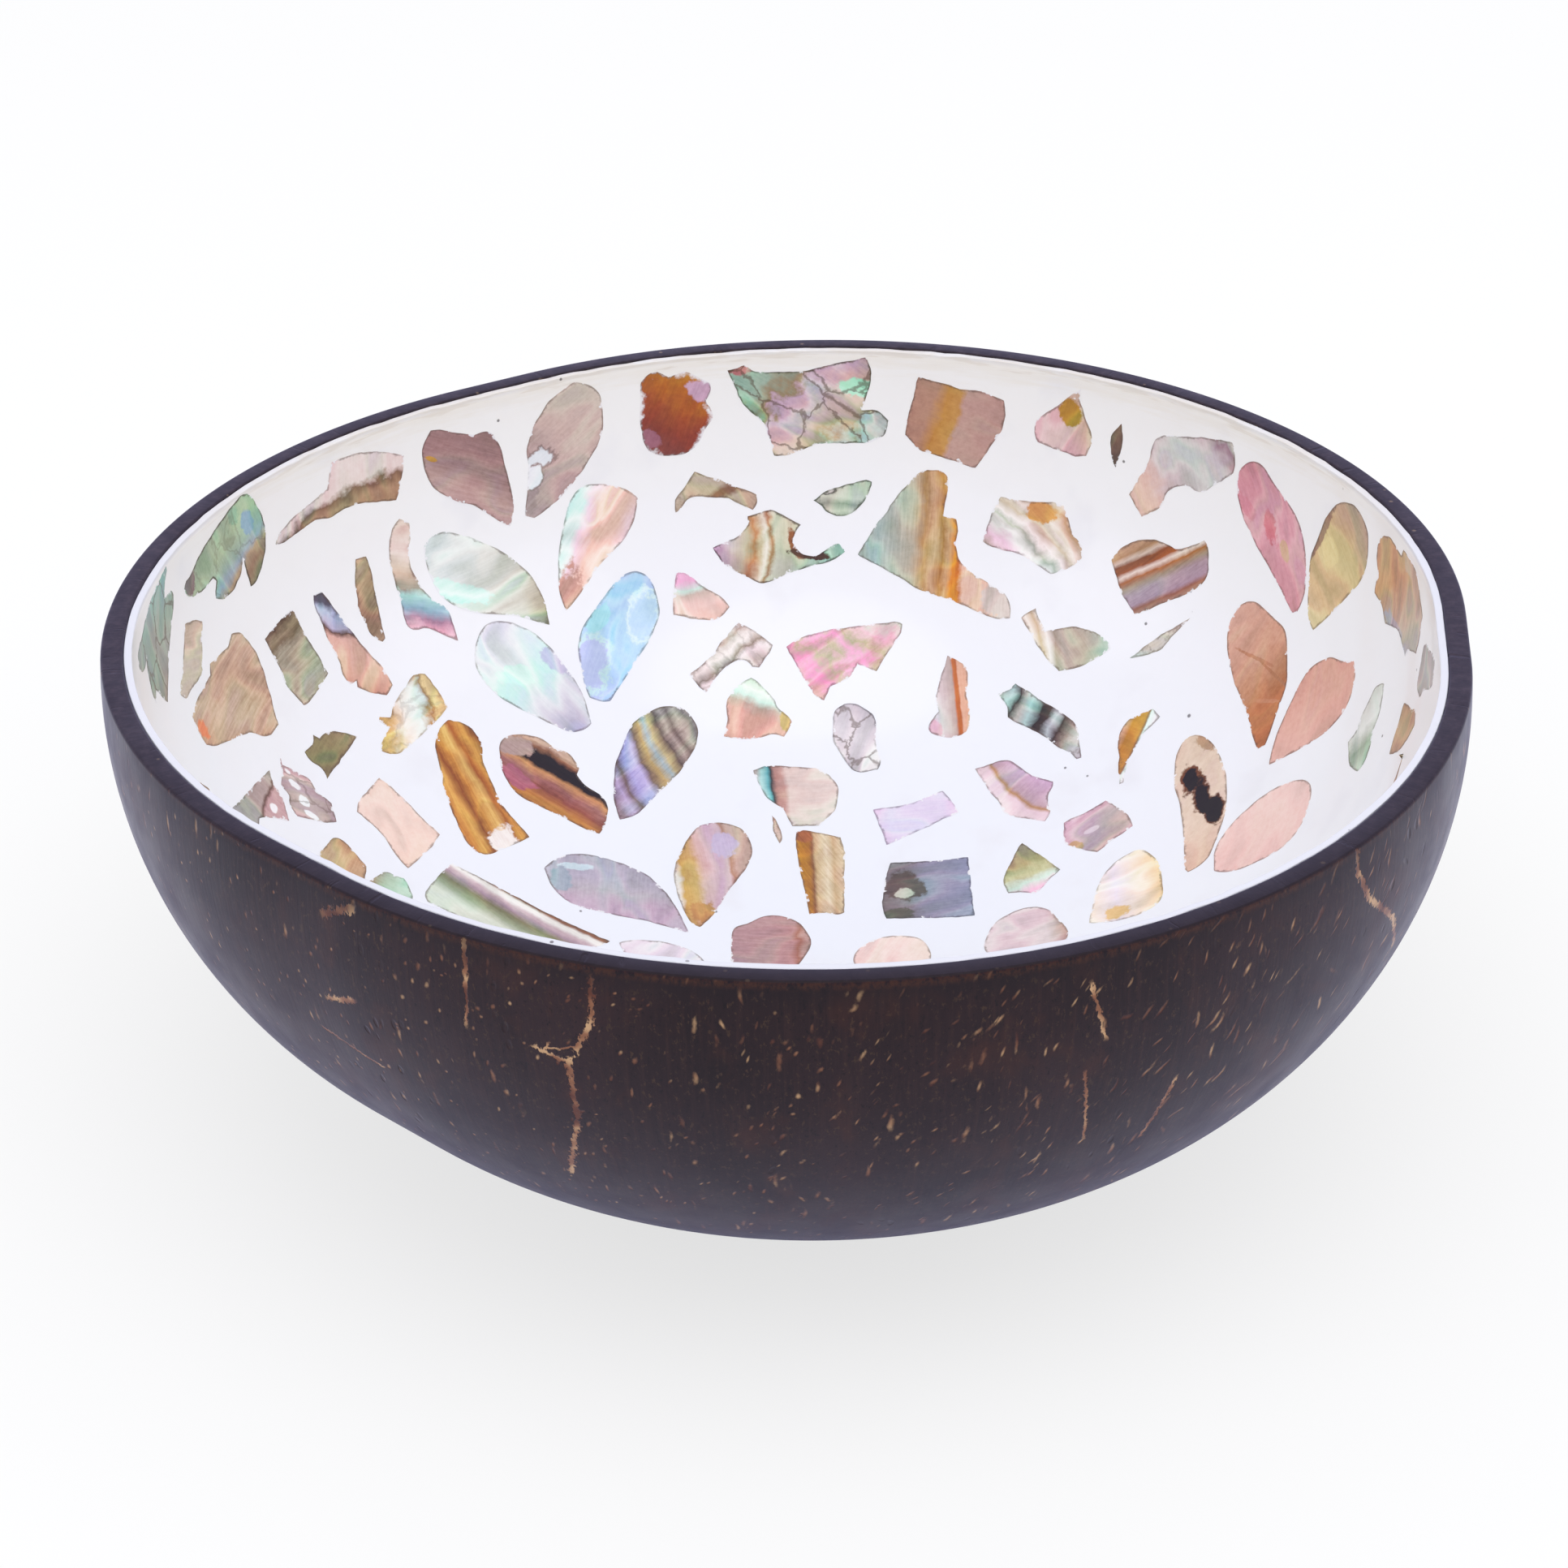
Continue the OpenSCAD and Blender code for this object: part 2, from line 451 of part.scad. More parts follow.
module curved_bands() color("#c9a58e") inlay() {
    // Rose and rainbow band
    chip(132, 69, size_share = 1.3, outline_shares = [[-47, 37], [-36, 38], [-29, 29], [-24, 13],
        [-16, 2], [-3, -8], [13, -15], [26, -15], [37, -23], [49, -40], [16, -40], [7, -47],
        [-2, -47], [-10, -39], [-18, -26], [-39, -3], [-47, 11], [-50, 26]]);
    // Amber band
    chip(137, 34.2, size_share = 1.9, outline_shares = [[-36, 28], [-32, 35], [-23, 37], [-16, 36],
        [-8, 29], [-5, 16], [2, 3], [11, -11], [29, -30], [23, -36], [5, -52], [-2, -52],
        [-10, -44], [-18, -29], [-26, -13], [-37, 16]]);
    // Long striped band
    chip(151, 18.5, size_share = 2.4, outline_shares = [[-36, 17], [-23, 13], [3, 2], [41, -14],
        [38, -18], [20, -25], [0, -23], [-25, -19], [-45, -14], [-47, -9], [-44, 0]]);
}

module left_slabs() color("#cdb3a4") inlay() {
    // Speckled slab
    chip(151, 67, size_share = 0.9, outline_shares = [[-33, 45], [-10, 36], [36, 20], [55, 10],
        [51, -10], [44, -39], [37, -51], [10, -46], [-3, -42], [-16, -31], [-55, -16], [-51, 0],
        [-39, 36]]);
    // Pink slab with a blue tip
    chip(143, 65, size_share = 1.2, outline_shares = [[-59, 11], [-52, 19], [-39, 16], [3, 2],
        [42, -10], [58, -21], [55, -34], [33, -41], [23, -42], [20, -36], [15, -44], [3, -39],
        [-3, -29], [-20, -20], [-36, -8], [-55, 5]]);
    // Peach slab
    chip(153, 36.2, size_share = 1.3, outline_shares = [[-27, 39], [-13, 36], [3, 29], [38, 8],
        [34, -7], [26, -23], [15, -45], [3, -36], [-7, -23], [-23, -13], [-40, -8], [-39, 7]]);
}

module left_slivers() color("#b7a58f") inlay() {
    // Beige sliver
    chip(167, 78, size_share = 0.7, outline_shares = [[-18, 72], [-10, 67], [3, 52], [36, 16],
        [34, -3], [26, -46], [24, -62], [13, -70], [3, -71], [-7, -42], [-16, -20], [-29, 0],
        [-51, 26], [-42, 46], [-29, 62]]);
    // Brown bean
    chip(139, 69, size_share = 0.9, outline_shares = [[-33, 44], [-23, 36], [-10, 23], [16, -7],
        [38, -36], [36, -42], [26, -43], [16, -41], [-10, -23], [-33, 7], [-41, 23], [-46, 33]]);
    // Grey shard
    chip(164, 52, size_share = 1.7, outline_shares = [[-38, -55], [-26, -23], [-19, -2], [-15, 8],
        [-10, 2], [0, -3], [10, -18], [-3, -26], [-13, -36], [-11, -50], [-23, -52]]);
    // Lace shard
    chip(164, 52, size_share = 1.7, outline_shares = [[-10, 24], [-7, 20], [3, 24], [15, 27],
        [24, 21], [36, 20], [43, 8], [33, 0], [15, -9], [7, -5], [5, 2], [-3, 5], [-5, 13]]);
    // Tan shard
    chip(165, 39, size_share = 0.7, outline_shares = [[-33, -31], [-36, -13], [-26, 13], [-20, 33],
        [-7, 41], [7, 37], [46, 13], [47, -10], [45, -40], [20, -52], [-15, -48]]);
    // Green fan, which has no copy in the front half
    if ($half_turn == 0)
        chip(163, 30.3, size_share = 0.5, outline_shares = [[-54, -21], [-33, 13], [-24, 29],
            [-10, 35], [3, 29], [20, 37], [33, 26], [52, -13], [47, -38], [15, -50], [-30, -47]]);
    // Tan sliver
    chip(177, 67, size_share = 1, outline_shares = [[33, 22], [38, 16], [37, 8], [10, -3],
        [-39, -29], [-20, -15], [13, 11]]);
}

// Small pieces on the right wall and between the sprays

module right_slivers() color("#b5aaa0") inlay() {
    // Green sliver
    chip(12, 66, size_share = 1.1, outline_shares = [[-29, 11], [-15, 10], [0, 18], [16, 22],
        [31, 24], [42, 16], [46, 10], [29, -8], [7, -18], [0, -29], [-18, -41], [-29, -39],
        [-36, -20], [-33, -3]]);
    // Brown fin
    chip(3, 73, size_share = 0.9, outline_shares = [[-39, 10], [-26, 20], [10, 35], [18, 36],
        [23, 23], [26, 7], [36, -10], [37, -18], [26, -36], [-3, -24], [-23, -13]]);
    // Grey sliver, which has no copy in the front half
    if ($half_turn == 0)
        chip(1, 83, size_share = 1, outline_shares = [[-23, 26], [-18, 34], [-3, 38], [13, 41],
            [23, 39], [31, 26], [30, 10], [38, -15], [45, -50], [20, -55], [5, -35], [-8, -5],
            [-23, 8]]);
}

module thin_splinters() color("#b9afa6") inlay() {
    // Dark splinter under the rim
    chip(57, 85, size_share = 0.5, outline_shares = [[51, 39], [23, 29], [8, 21], [-2, 8], [-7, -7],
        [-19, -36], [-16, -52], [7, -29], [33, 3]]);
    // Pale splinter
    chip(47, 57, size_share = 1.2, outline_shares = [[-32, -5], [0, 2], [10, 3], [42, 3], [16, -5],
        [7, -10], [-3, -12], [-24, -8]]);
    // Peach square
    chip(101, 56, size_share = 0.6, outline_shares = [[-48, 25], [-47, 38], [-39, 43], [-24, 40],
        [12, 20], [33, 10], [55, 0], [67, -14], [55, -32], [38, -47], [-10, -46], [-44, -45],
        [-46, -12]]);
    // Ochre crescent
    chip(42, 40, size_share = 1, outline_shares = [[28, 43], [34, 29], [26, 24], [13, 20], [3, 13],
        [-13, -5], [-20, -16], [-26, -37], [-32, -37], [-28, -10], [-24, 16], [-20, 29], [-11, 41],
        [-3, 44]]);
    // Thin petal
    chip(90, 20.3, size_share = 1.2, outline_shares = [[-23, -18], [-18, -23], [-12, -49], [-15, -55],
        [-21, -39]]);
}

// Groups that the two halves of the inlay are made of

module left_spray() {
    mauve_leaf();
    taupe_leaf();
    green_leaf();
    peach_leaf();
    white_leaf();
    blue_leaf();
    rust_leaf();
    rainbow_leaf();
    lavender_leaf();
    ochre_leaf();
    pale_leaf();
    dusky_leaf();
}

module right_spray() {
    rose_leaf();
    olive_leaf();
    veined_leaf();
    salmon_leaf();
    blotched_leaf();
    blush_leaf();
    gold_leaf();
    shell_pink_leaf();
    cream_leaf();
}

module shards() {
    green_lobes();
    horn_crescent();
    amber_flake();
    green_abalone();
    taupe_hexagon();
    olive_pink_shard();
    grey_pink_abalone();
    brown_streak();
    beige_hook();
    green_half_moon();
    bitten_shard();
    big_triangle();
    striped_diamond();
    striped_flag();
    bone_shard();
    bright_pink_shard();
    mint_peach_shard();
    silver_crystal();
    orange_bar();
    black_bar();
    fish_shard();
    pink_lips();
    pink_brown_shard();
    lavender_oblong();
    grey_square();
    olive_kite();
    teal_beige_shard();
    ochre_fan();
    left_wall_shards();
    curved_bands();
    left_slabs();
    left_slivers();
    right_slivers();
    thin_splinters();
}

module front_left_leaves() color("#c9b7ae") inlay()
    right_spray($pocket = true, $half_turn = front_turn);
module front_right_leaves() color("#bdb2bd") inlay()
    left_spray($pocket = true, $half_turn = front_turn);
module front_shards() color("#b8a797") inlay()
    shards($pocket = true, $half_turn = front_turn);

module all_chips() {
    left_spray();
    right_spray();
    shards();
    front_left_leaves();
    front_right_leaves();
    front_shards();
}

coconut_shell();
lacquer_lining();
mauve_leaf();
taupe_leaf();
green_leaf();
peach_leaf();
white_leaf();
blue_leaf();
rust_leaf();
rainbow_leaf();
lavender_leaf();
ochre_leaf();
pale_leaf();
dusky_leaf();
rose_leaf();
olive_leaf();
veined_leaf();
salmon_leaf();
blotched_leaf();
blush_leaf();
gold_leaf();
shell_pink_leaf();
cream_leaf();
green_lobes();
horn_crescent();
amber_flake();
green_abalone();
taupe_hexagon();
olive_pink_shard();
grey_pink_abalone();
brown_streak();
beige_hook();
green_half_moon();
bitten_shard();
big_triangle();
striped_diamond();
striped_flag();
bone_shard();
bright_pink_shard();
mint_peach_shard();
silver_crystal();
orange_bar();
black_bar();
fish_shard();
pink_lips();
pink_brown_shard();
lavender_oblong();
grey_square();
olive_kite();
teal_beige_shard();
ochre_fan();
left_wall_shards();
left_slivers();
curved_bands();
left_slabs();
right_slivers();
thin_splinters();
front_left_leaves();
front_right_leaves();
front_shards();
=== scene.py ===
import math

import bmesh
import bpy
from mathutils import Matrix, Vector, geometry, kdtree, noise


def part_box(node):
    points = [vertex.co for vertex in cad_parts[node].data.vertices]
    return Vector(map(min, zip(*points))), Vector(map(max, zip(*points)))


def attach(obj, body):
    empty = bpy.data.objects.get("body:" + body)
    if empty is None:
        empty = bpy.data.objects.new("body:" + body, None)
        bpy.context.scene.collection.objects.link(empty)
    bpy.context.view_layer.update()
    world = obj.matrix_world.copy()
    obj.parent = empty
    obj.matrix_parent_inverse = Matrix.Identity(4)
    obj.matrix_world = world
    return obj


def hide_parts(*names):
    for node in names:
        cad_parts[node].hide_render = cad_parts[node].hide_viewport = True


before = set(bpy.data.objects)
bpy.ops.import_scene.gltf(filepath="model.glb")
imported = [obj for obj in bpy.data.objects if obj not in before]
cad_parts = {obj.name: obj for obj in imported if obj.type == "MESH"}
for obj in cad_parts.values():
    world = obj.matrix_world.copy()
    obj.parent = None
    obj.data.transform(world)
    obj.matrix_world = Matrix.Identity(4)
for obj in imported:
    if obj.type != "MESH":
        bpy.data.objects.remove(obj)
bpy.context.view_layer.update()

bpy.ops.object.select_all(action="DESELECT")
MM = 0.001

# Coconut shell
# Half of a coconut, sawn across, scraped, sanded and polished. Its wall is 2.3 mm of hard dark
# brown shell, it has three soft ridges, and its round bottom is sanded flat to stand on.
ROUND_WIDTH = 131.2 * MM
SIDE_RADIUS = 44.6 * MM
WIDEST_DROP = 4.4 * MM
BASE_CUT = 0.6 * MM
WALL = 2.3 * MM
RIM_ROUND = 0.35 * MM
RIDGE_UNIT = 1.7 * MM
RIDGE_TURN = math.radians(-6)
RIDGE_LEAN = math.atan2(3, 4)
RIDGE_PLACES = ((1.35, 3, 0), (-2.65, 0, 0), (1.35, -3, 0))
# The side arc runs into the bottom arc where the wall leans as the long side of a 5-12-13 triangle.
JOINT_OUT = 5
JOINT_UP = 12
JOINT_SLANT = 13
FINE_STEP = math.radians(1.5)
RIM_STEP = math.pi / 8
RIDGE_STEPS = 8
MERGE_DISTANCE = 0.02 * MM
SMOOTH_BELOW = math.radians(40)

rim_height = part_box("coconut_shell")[1].z
widest_height = rim_height - WIDEST_DROP
side_x = ROUND_WIDTH / 2 - SIDE_RADIUS
bottom_radius = SIDE_RADIUS + JOINT_SLANT * side_x / JOINT_OUT
bottom_height = bottom_radius - BASE_CUT
joint_climb = math.atan2(JOINT_OUT, JOINT_UP)

ridge_turn = Matrix.Rotation(RIDGE_TURN, 3, "Z")
ridge_corners = [ridge_turn @ (Vector(place) * RIDGE_UNIT) for place in RIDGE_PLACES]
side_turns = [RIDGE_TURN + turn for turn in
              (0, math.pi / 2 + RIDGE_LEAN, 3 * math.pi / 2 - RIDGE_LEAN, 2 * math.pi)]


def toward(turn):
    return Vector((math.cos(turn), math.sin(turn), 0))


def arc_centre(point):
    """The centre of the arc that the wall follows at a point, and that arc's outside radius."""
    flat = Vector((point.x, point.y, 0))
    middle = geometry.closest_point_on_tri(flat, *ridge_corners)
    out = flat - middle
    if out.length * JOINT_UP < (bottom_height - point.z) * JOINT_OUT:
        return middle + Vector((0, 0, bottom_height)), bottom_radius
    return middle + out.normalized() * side_x + Vector((0, 0, widest_height)), SIDE_RADIUS


def on_layer(point, inset):
    """The place nearest to a point that lies that far inside the outer face."""
    centre, radius = arc_centre(point)
    return centre + (point - centre).normalized() * (radius - inset)


def climb_to(height, inset):
    """How far up the side arc a height lies, as an angle from its lowest point."""
    return math.pi / 2 + math.asin((height - widest_height) / (SIDE_RADIUS - inset))


def draw_vertex(name, place):
    """A new mesh of one vertex, in edit mode, from which a profile is drawn."""
    bpy.ops.mesh.primitive_plane_add(size=MM)
    bpy.context.object.name = name
    bpy.ops.object.mode_set(mode="EDIT")
    bpy.ops.mesh.merge(type="CENTER")
    bpy.ops.transform.translate(value=place)
    return bpy.context.object


def draw_line(step):
    bpy.ops.mesh.extrude_region_move(TRANSFORM_OT_translate={"value": step})


def draw_arc(centre, axis, turn, step=FINE_STEP):
    count = max(1, round(abs(turn) / step))
    bpy.ops.mesh.spin(steps=count, angle=-turn, center=centre, axis=axis)


def sweep_round():
    """Sweeps the drawn profile round the ridge triangle and closes it."""
    bpy.ops.mesh.select_all(action="SELECT")
    for i, corner in enumerate(ridge_corners):
        draw_arc(corner, (0, 0, 1), side_turns[i + 1] - side_turns[i])
        following = ridge_corners[(i + 1) % len(ridge_corners)]
        for _ in range(RIDGE_STEPS):
            draw_line((following - corner) / RIDGE_STEPS)
    bpy.ops.mesh.select_all(action="SELECT")
    bpy.ops.mesh.remove_doubles(threshold=MERGE_DISTANCE)
    bpy.ops.mesh.fill_holes(sides=0)
    bpy.ops.mesh.normals_make_consistent(inside=False)
    bpy.ops.object.mode_set(mode="OBJECT")


def draw_wall(name, outer, inner, rim_round):
    """A layer of the bowl between two insets, from its floor up to a rounded rim."""
    start = toward(side_turns[0])
    axis = Vector((0, 0, 1)).cross(start)
    low = ridge_corners[0] + Vector((0, 0, bottom_height))
    side = ridge_corners[0] + start * side_x + Vector((0, 0, widest_height))
    outer_floor = max(0, bottom_height - bottom_radius + outer)
    flat = math.acos(min(1, (bottom_height - outer_floor) / (bottom_radius - outer)))
    wall = draw_vertex(name, ridge_corners[0] + Vector((0, 0, outer_floor)))
    if flat > 0:
        draw_line(start * (bottom_radius - outer) * math.sin(flat))
    draw_arc(low, axis, flat - joint_climb)
    edge = climb_to(rim_height - rim_round, outer)
    draw_arc(side, axis, joint_climb - edge)
    rim_out = side_x + (SIDE_RADIUS - outer) * math.sin(edge)
    edge_in = climb_to(rim_height - rim_round, inner)
    rim_in = side_x + (SIDE_RADIUS - inner) * math.sin(edge_in)
    up = Vector((0, 0, rim_height - rim_round)) + ridge_corners[0]
    draw_arc(up + start * (rim_out - rim_round), axis, -math.pi / 2, step=RIM_STEP)
    draw_line(-start * (rim_out - rim_in - 2 * rim_round))
    draw_arc(up + start * (rim_in + rim_round), axis, -math.pi / 2, step=RIM_STEP)
    draw_arc(side, axis, edge_in - joint_climb)
    draw_arc(low, axis, joint_climb)
    sweep_round()
    return wall


def finish_piece(piece, node):
    """Smooths a piece's soft edges and puts it in the place of its node."""
    bpy.ops.object.shade_smooth_by_angle(angle=SMOOTH_BELOW)
    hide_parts(node)
    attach(piece, "root")


class Field:
    """A value that differs from place to place on a surface. Sums of fields become nodes."""

    def __init__(self, socket):
        self.socket = socket
        self.tree = socket.id_data

    def __add__(self, other):
        return calc("ADD", self, other)

    def __sub__(self, other):
        return calc("SUBTRACT", self, other)

    def __rsub__(self, other):
        return calc("SUBTRACT", other, self)

    def __mul__(self, other):
        return calc("MULTIPLY", self, other)

    def __abs__(self):
        return calc("ABSOLUTE", self)


def new_paint(name):
    """A material made of shader nodes."""
    paint = bpy.data.materials.new(name)
    paint.use_nodes = True
    return paint


def colour(code):
    """A hex colour as the shader's linear values."""
    parts = [int(code[i:i + 2], 16) / 255 for i in (1, 3, 5)]
    return tuple(p / 12.92 if p < 0.04045 else ((p + 0.055) / 1.055) ** 2.4 for p in parts) + (1,)


def put(socket, value):
    """Sets a node's input to a field, a hex colour or a plain value."""
    if isinstance(value, Field):
        value.tree.links.new(value.socket, socket)
    else:
        socket.default_value = colour(value) if isinstance(value, str) else value


def add_node(kind, inputs, output=0, tree=None, **settings):
    """One output of a new shader node, in the tree of the fields that go into it."""
    if tree is None:
        tree = next(value.tree for value in inputs.values() if isinstance(value, Field))
    made = tree.nodes.new("ShaderNode" + kind)
    for name, value in settings.items():
        setattr(made, name, value)
    for name, value in inputs.items():
        put(made.inputs[name], value)
    return Field(made.outputs[output])


def set_surface(paint, looks):
    """Sets the inputs of a material's surface shader."""
    surface = paint.node_tree.nodes["Principled BSDF"]
    for name, value in looks.items():
        put(surface.inputs[name], value)


def calc(operation, *values):
    return add_node("Math", dict(enumerate(values)), operation=operation)


def turned(place, middle=(0, 0, 0), turn=0.0, size=1):
    """Coordinates measured from a middle, along turned axes, in units of a size."""
    sizes = size if isinstance(size, tuple) else (size, size, size)
    return add_node("Mapping", {"Vector": place, "Location": middle, "Rotation": (0, 0, turn),
                                "Scale": sizes}, vector_type="TEXTURE")


def ease(value, start, end):
    """0 at the start, 1 at the end and smooth between, whichever of the two is larger."""
    return add_node("MapRange", {"Value": value, "From Min": min(start, end), "From Max": max(start, end),
                                 "To Min": int(start > end), "To Max": int(start < end)},
                    interpolation_type="SMOOTHSTEP")


def blend(share, below, above, how="MIX"):
    return add_node("Mix", {"Factor": share, 6: below, 7: above}, 2, data_type="RGBA", blend_type=how)


def cloud(place, size=1, detail=2.0, rough=0.5, twist=0.0):
    """Soft noise from 0 to 1, with a grain of that size."""
    return add_node("TexNoise", {"Vector": turned(place, size=size), "Scale": 1, "Detail": detail,
                                 "Roughness": rough, "Distortion": twist}, "Fac")


def cells(place, size=1, feature="F1", output="Distance"):
    return add_node("TexVoronoi", {"Vector": turned(place, size=size), "Scale": 1}, output, feature=feature)


def shades(share, stops):
    """Colours at places from 0 to 1."""
    made = add_node("ValToRGB", {0: share})
    line = made.socket.node.color_ramp.elements
    line.remove(line[1])
    for i, (place, code) in enumerate(stops.items()):
        stop = line.new(place) if i else line[0]
        stop.position = place
        stop.color = colour(code)
    return made


def raised(height, strength, distance):
    return add_node("Bump", {"Height": height, "Strength": strength, "Distance": distance})


def split(place):
    made = add_node("SeparateXYZ", {0: place})
    return [Field(socket) for socket in made.socket.node.outputs]


def joined(x, y, z):
    return add_node("CombineXYZ", {0: x, 1: y, 2: z})


def own_value(paint, name, output="Fac"):
    """A value that the mesh keeps at each of its points."""
    return add_node("Attribute", {}, output, paint.node_tree, attribute_name=name)


def place_in_mm(paint):
    return turned(add_node("TexCoord", {}, "Object", paint.node_tree), size=MM)


# Patterns of the shell
# Sizes in millimetres, round the wall and up it, zones in millimetres under the rim, towards the
# front and towards the right, and the browns from the dark ground to the golden fibre.
BODY_GRAIN = (14, 14, 20)
FIBRE_GRAIN = (0.5, 0.5, 9)
SPECK_GRAIN = (0.5, 0.5, 0.8)
STREAK_GRAIN = (5, 5, 8)
DUST_GRAIN = (0.35, 0.35, 0.6)
SHIFT_GRAIN = 9
SHIFT_MM = 5
CROWD_GRAIN = 24
CROWD_AT = (20, 4, 0)
GOLD_GRAIN = 3
GLOSS_GRAIN = 5
RIM_GRAIN = 1.2
RIM_PORES = 2.5
PIT_CELLS = (1.7, 1.7, 3.6)
PIT_ZONES = 16
DARK_ZONE = (3.5, 0.5)
BROWN_ZONE = (1.1, 0.4)
SAWN_ZONE = (0.22, 0.05)
FRONT_ZONE = (-15, -60)
RIGHT_ZONE = (10, 80)
SHELL_BUMP = 0.12 * MM
BODY_SHADES = {0.3: "#1a0f12", 0.5: "#221417", 0.7: "#2a1a1d"}
FIBRE_BROWN = "#33201e"
SPECK_TAN = "#38281f"
SPECK_BLACK = "#160d10"
STREAK_BROWN = "#3c2018"
GOLD_SHADES = {0.36: "#5c3426", 0.5: "#8c5f45", 0.62: "#c09a74"}
DARK_BROWN = "#1a1216"
BROW_BROWN = "#4a2a1b"
SAWN_SHADES = {0.3: "#1f171b", 0.5: "#2a2126", 0.72: "#3b3036"}
SAWN_PORE = "#6d5c50"
# Painted shade that darkens the sawn rim towards the front.
SAWN_FRONT_SHADE = "#190e0c"
POLISH_TINT = "#b4b6ec"

# Flecks of the shell
# Short golden fibres, as cell sizes in millimetres, how rare they are, their width in cells and
# how far they lean.
FLECKS = (
    ((1.3, 1.3, 6), 0.93, 0.3, 0.0),
    ((1.4, 1.4, 6), 0.93, 0.3, -0.55),
    ((2.2, 2.2, 9), 1.0, 0.24, -0.3),
    ((0.8, 0.8, 3), 0.9, 0.34, -0.4),
)

# Cracks of the shell
# Golden fibre that the sanding laid bare. Each crack has a width in millimetres and places as a
# turn round the axis in degrees and a height in millimetres.
CRACKS = (
    (0.55, ((-105, 50.5), (-105, 46.7), (-107, 41.8), (-107, 34.6), (-109, 26.5))),
    (0.45, ((-109, 42.6), (-107, 41.8))),
    (0.4, ((-115, 52), (-115, 47.6))),
    (0.35, ((-115, 46.2), (-115.2, 44))),
    (0.6, ((-44, 52), (-44, 50.3), (-42, 46.1), (-37, 41), (-34, 35.8))),
    (0.35, ((-69, 48.7), (-68, 44.2))),
    (0.3, ((-69, 38.9), (-68, 31.5))),
    (0.4, ((-61, 34.7), (-62, 28.9))),
    (0.3, ((-131, 34.5), (-126, 33.4))),
    (0.9, ((-128, 49.8), (-126, 51.1))),
    (0.6, ((-129, 39.9), (-127, 40.7))),
    (0.4, ((35, 47), (37, 40), (36, 31))),
    (0.45, ((88, 50), (90, 43), (94, 37), (93, 29))),
    (0.35, ((140, 46), (137, 38), (139, 33))),
    (0.4, ((172, 40), (176, 31), (174, 24))),
)
CRACK_REACH_MM = 12
NO_CRACK_MM = 99
MEAN_RADIUS_MM = 68


def unrolled(turn, height):
    """A place on the wall as a distance along the mean circle and a height, in millimetres."""
    return Vector((turn * MEAN_RADIUS_MM, height))


def mark_cracks(wall):
    """Keeps each point's distance to the nearest crack, and its side of it in crack widths."""
    stretches = []
    for width, route in CRACKS:
        places = [unrolled(math.radians(turn), height) for turn, height in route]
        stretches += [(width, a, b) for a, b in zip(places, places[1:])]
    distances = []
    sides = []
    for corner in wall.data.vertices:
        here = unrolled(math.atan2(corner.co.y, corner.co.x), corner.co.z / MM)
        nearest = (NO_CRACK_MM, 0)
        for width, a, b in stretches:
            if abs(here.x - a.x) > CRACK_REACH_MM:
                continue
            along = b - a
            share = min(1, max(0, (here - a).dot(along) / along.length_squared))
            distance = (here - a - along * share).length
            if distance < nearest[0]:
                nearest = (distance, along.normalized().cross(here - a) / width)
        distances.append(nearest[0])
        sides.append(nearest[1])
    for name, values in (("crack_distance", distances), ("crack_side", sides)):
        wall.data.attributes.new(name, "FLOAT", "POINT").data.foreach_set("value", values)


def shell_body(place, fibre, leaning):
    """The dark brown ground with its brown streaks, and the noises of its fibres and specks."""
    tone = shades(cloud(place, BODY_GRAIN, 3, 0.6), BODY_SHADES)
    grain = cloud(fibre, FIBRE_GRAIN, 3, 0.6)
    tone = blend(ease(grain, 0.45, 0.75) * 0.5, tone, FIBRE_BROWN)
    specks = cloud(place, SPECK_GRAIN, 3, 0.7)
    tone = blend(ease(specks, 0.56, 0.7), tone, SPECK_TAN)
    tone = blend(ease(specks, 0.42, 0.3), tone, SPECK_BLACK)
    brown = ease(cloud(leaning, STREAK_GRAIN, 3, 0.6), 0.5, 0.72)
    return blend(brown * 0.45, tone, STREAK_BROWN), grain, specks


def fleck_marks(place, leaning, dust):
    """Where the golden flecks are. They crowd together in places, and at the front right."""
    x, y, z = split(place)
    lean_x, lean_y, _ = split(leaning)
    crowd = cloud(turned(place, CROWD_AT, size=CROWD_GRAIN), detail=1) + ease(x - y, *RIGHT_ZONE) * 0.22
    marks = None
    for size, chance, width, lean in FLECKS:
        slant = z * lean
        spread = turned(joined(lean_x + slant, lean_y + slant, z), size=size)
        near = cells(spread) + dust * 0.2
        pick = split(cells(spread, output="Color"))[0] + crowd * 0.5
        here = ease(near, width * 1.1, width * 0.35) * ease(pick, chance, chance + 0.05)
        marks = here if marks is None else calc("MAXIMUM", marks, here)
    return marks


def crack_marks(paint, dust):
    """Where the cracks are, with ragged sides."""
    beside = abs(own_value(paint, "crack_side") + (dust - 0.5) * 2.4)
    return ease(beside, 0.62, 0.25) * ease(own_value(paint, "crack_distance"), 1.5, 0.8)


def sawn_tone(place, front):
    """The sawn rim: dark fibre with pale pores, with painted shade that darkens it towards the front."""
    tone = shades(cloud(place, RIM_GRAIN, 4, 0.7), SAWN_SHADES)
    tone = blend(ease(cells(place, RIM_PORES), 0.12, 0.05), tone, SAWN_PORE)
    # Painted shade: the rim darkens towards the front.
    return blend(front * 0.75, tone, SAWN_FRONT_SHADE)


def pit_depth(place, leaning):
    """Small pits in a few zones of the wall."""
    zone = ease(cloud(place, PIT_ZONES, 1), 0.55, 0.7)
    return ease(cells(leaning, PIT_CELLS), 0.24, 0.1) * zone


def under_rim(z, zone):
    """How far a height is through a zone below the rim, from 0 to 1."""
    return ease(z, rim_height / MM - zone[0], rim_height / MM - zone[1])


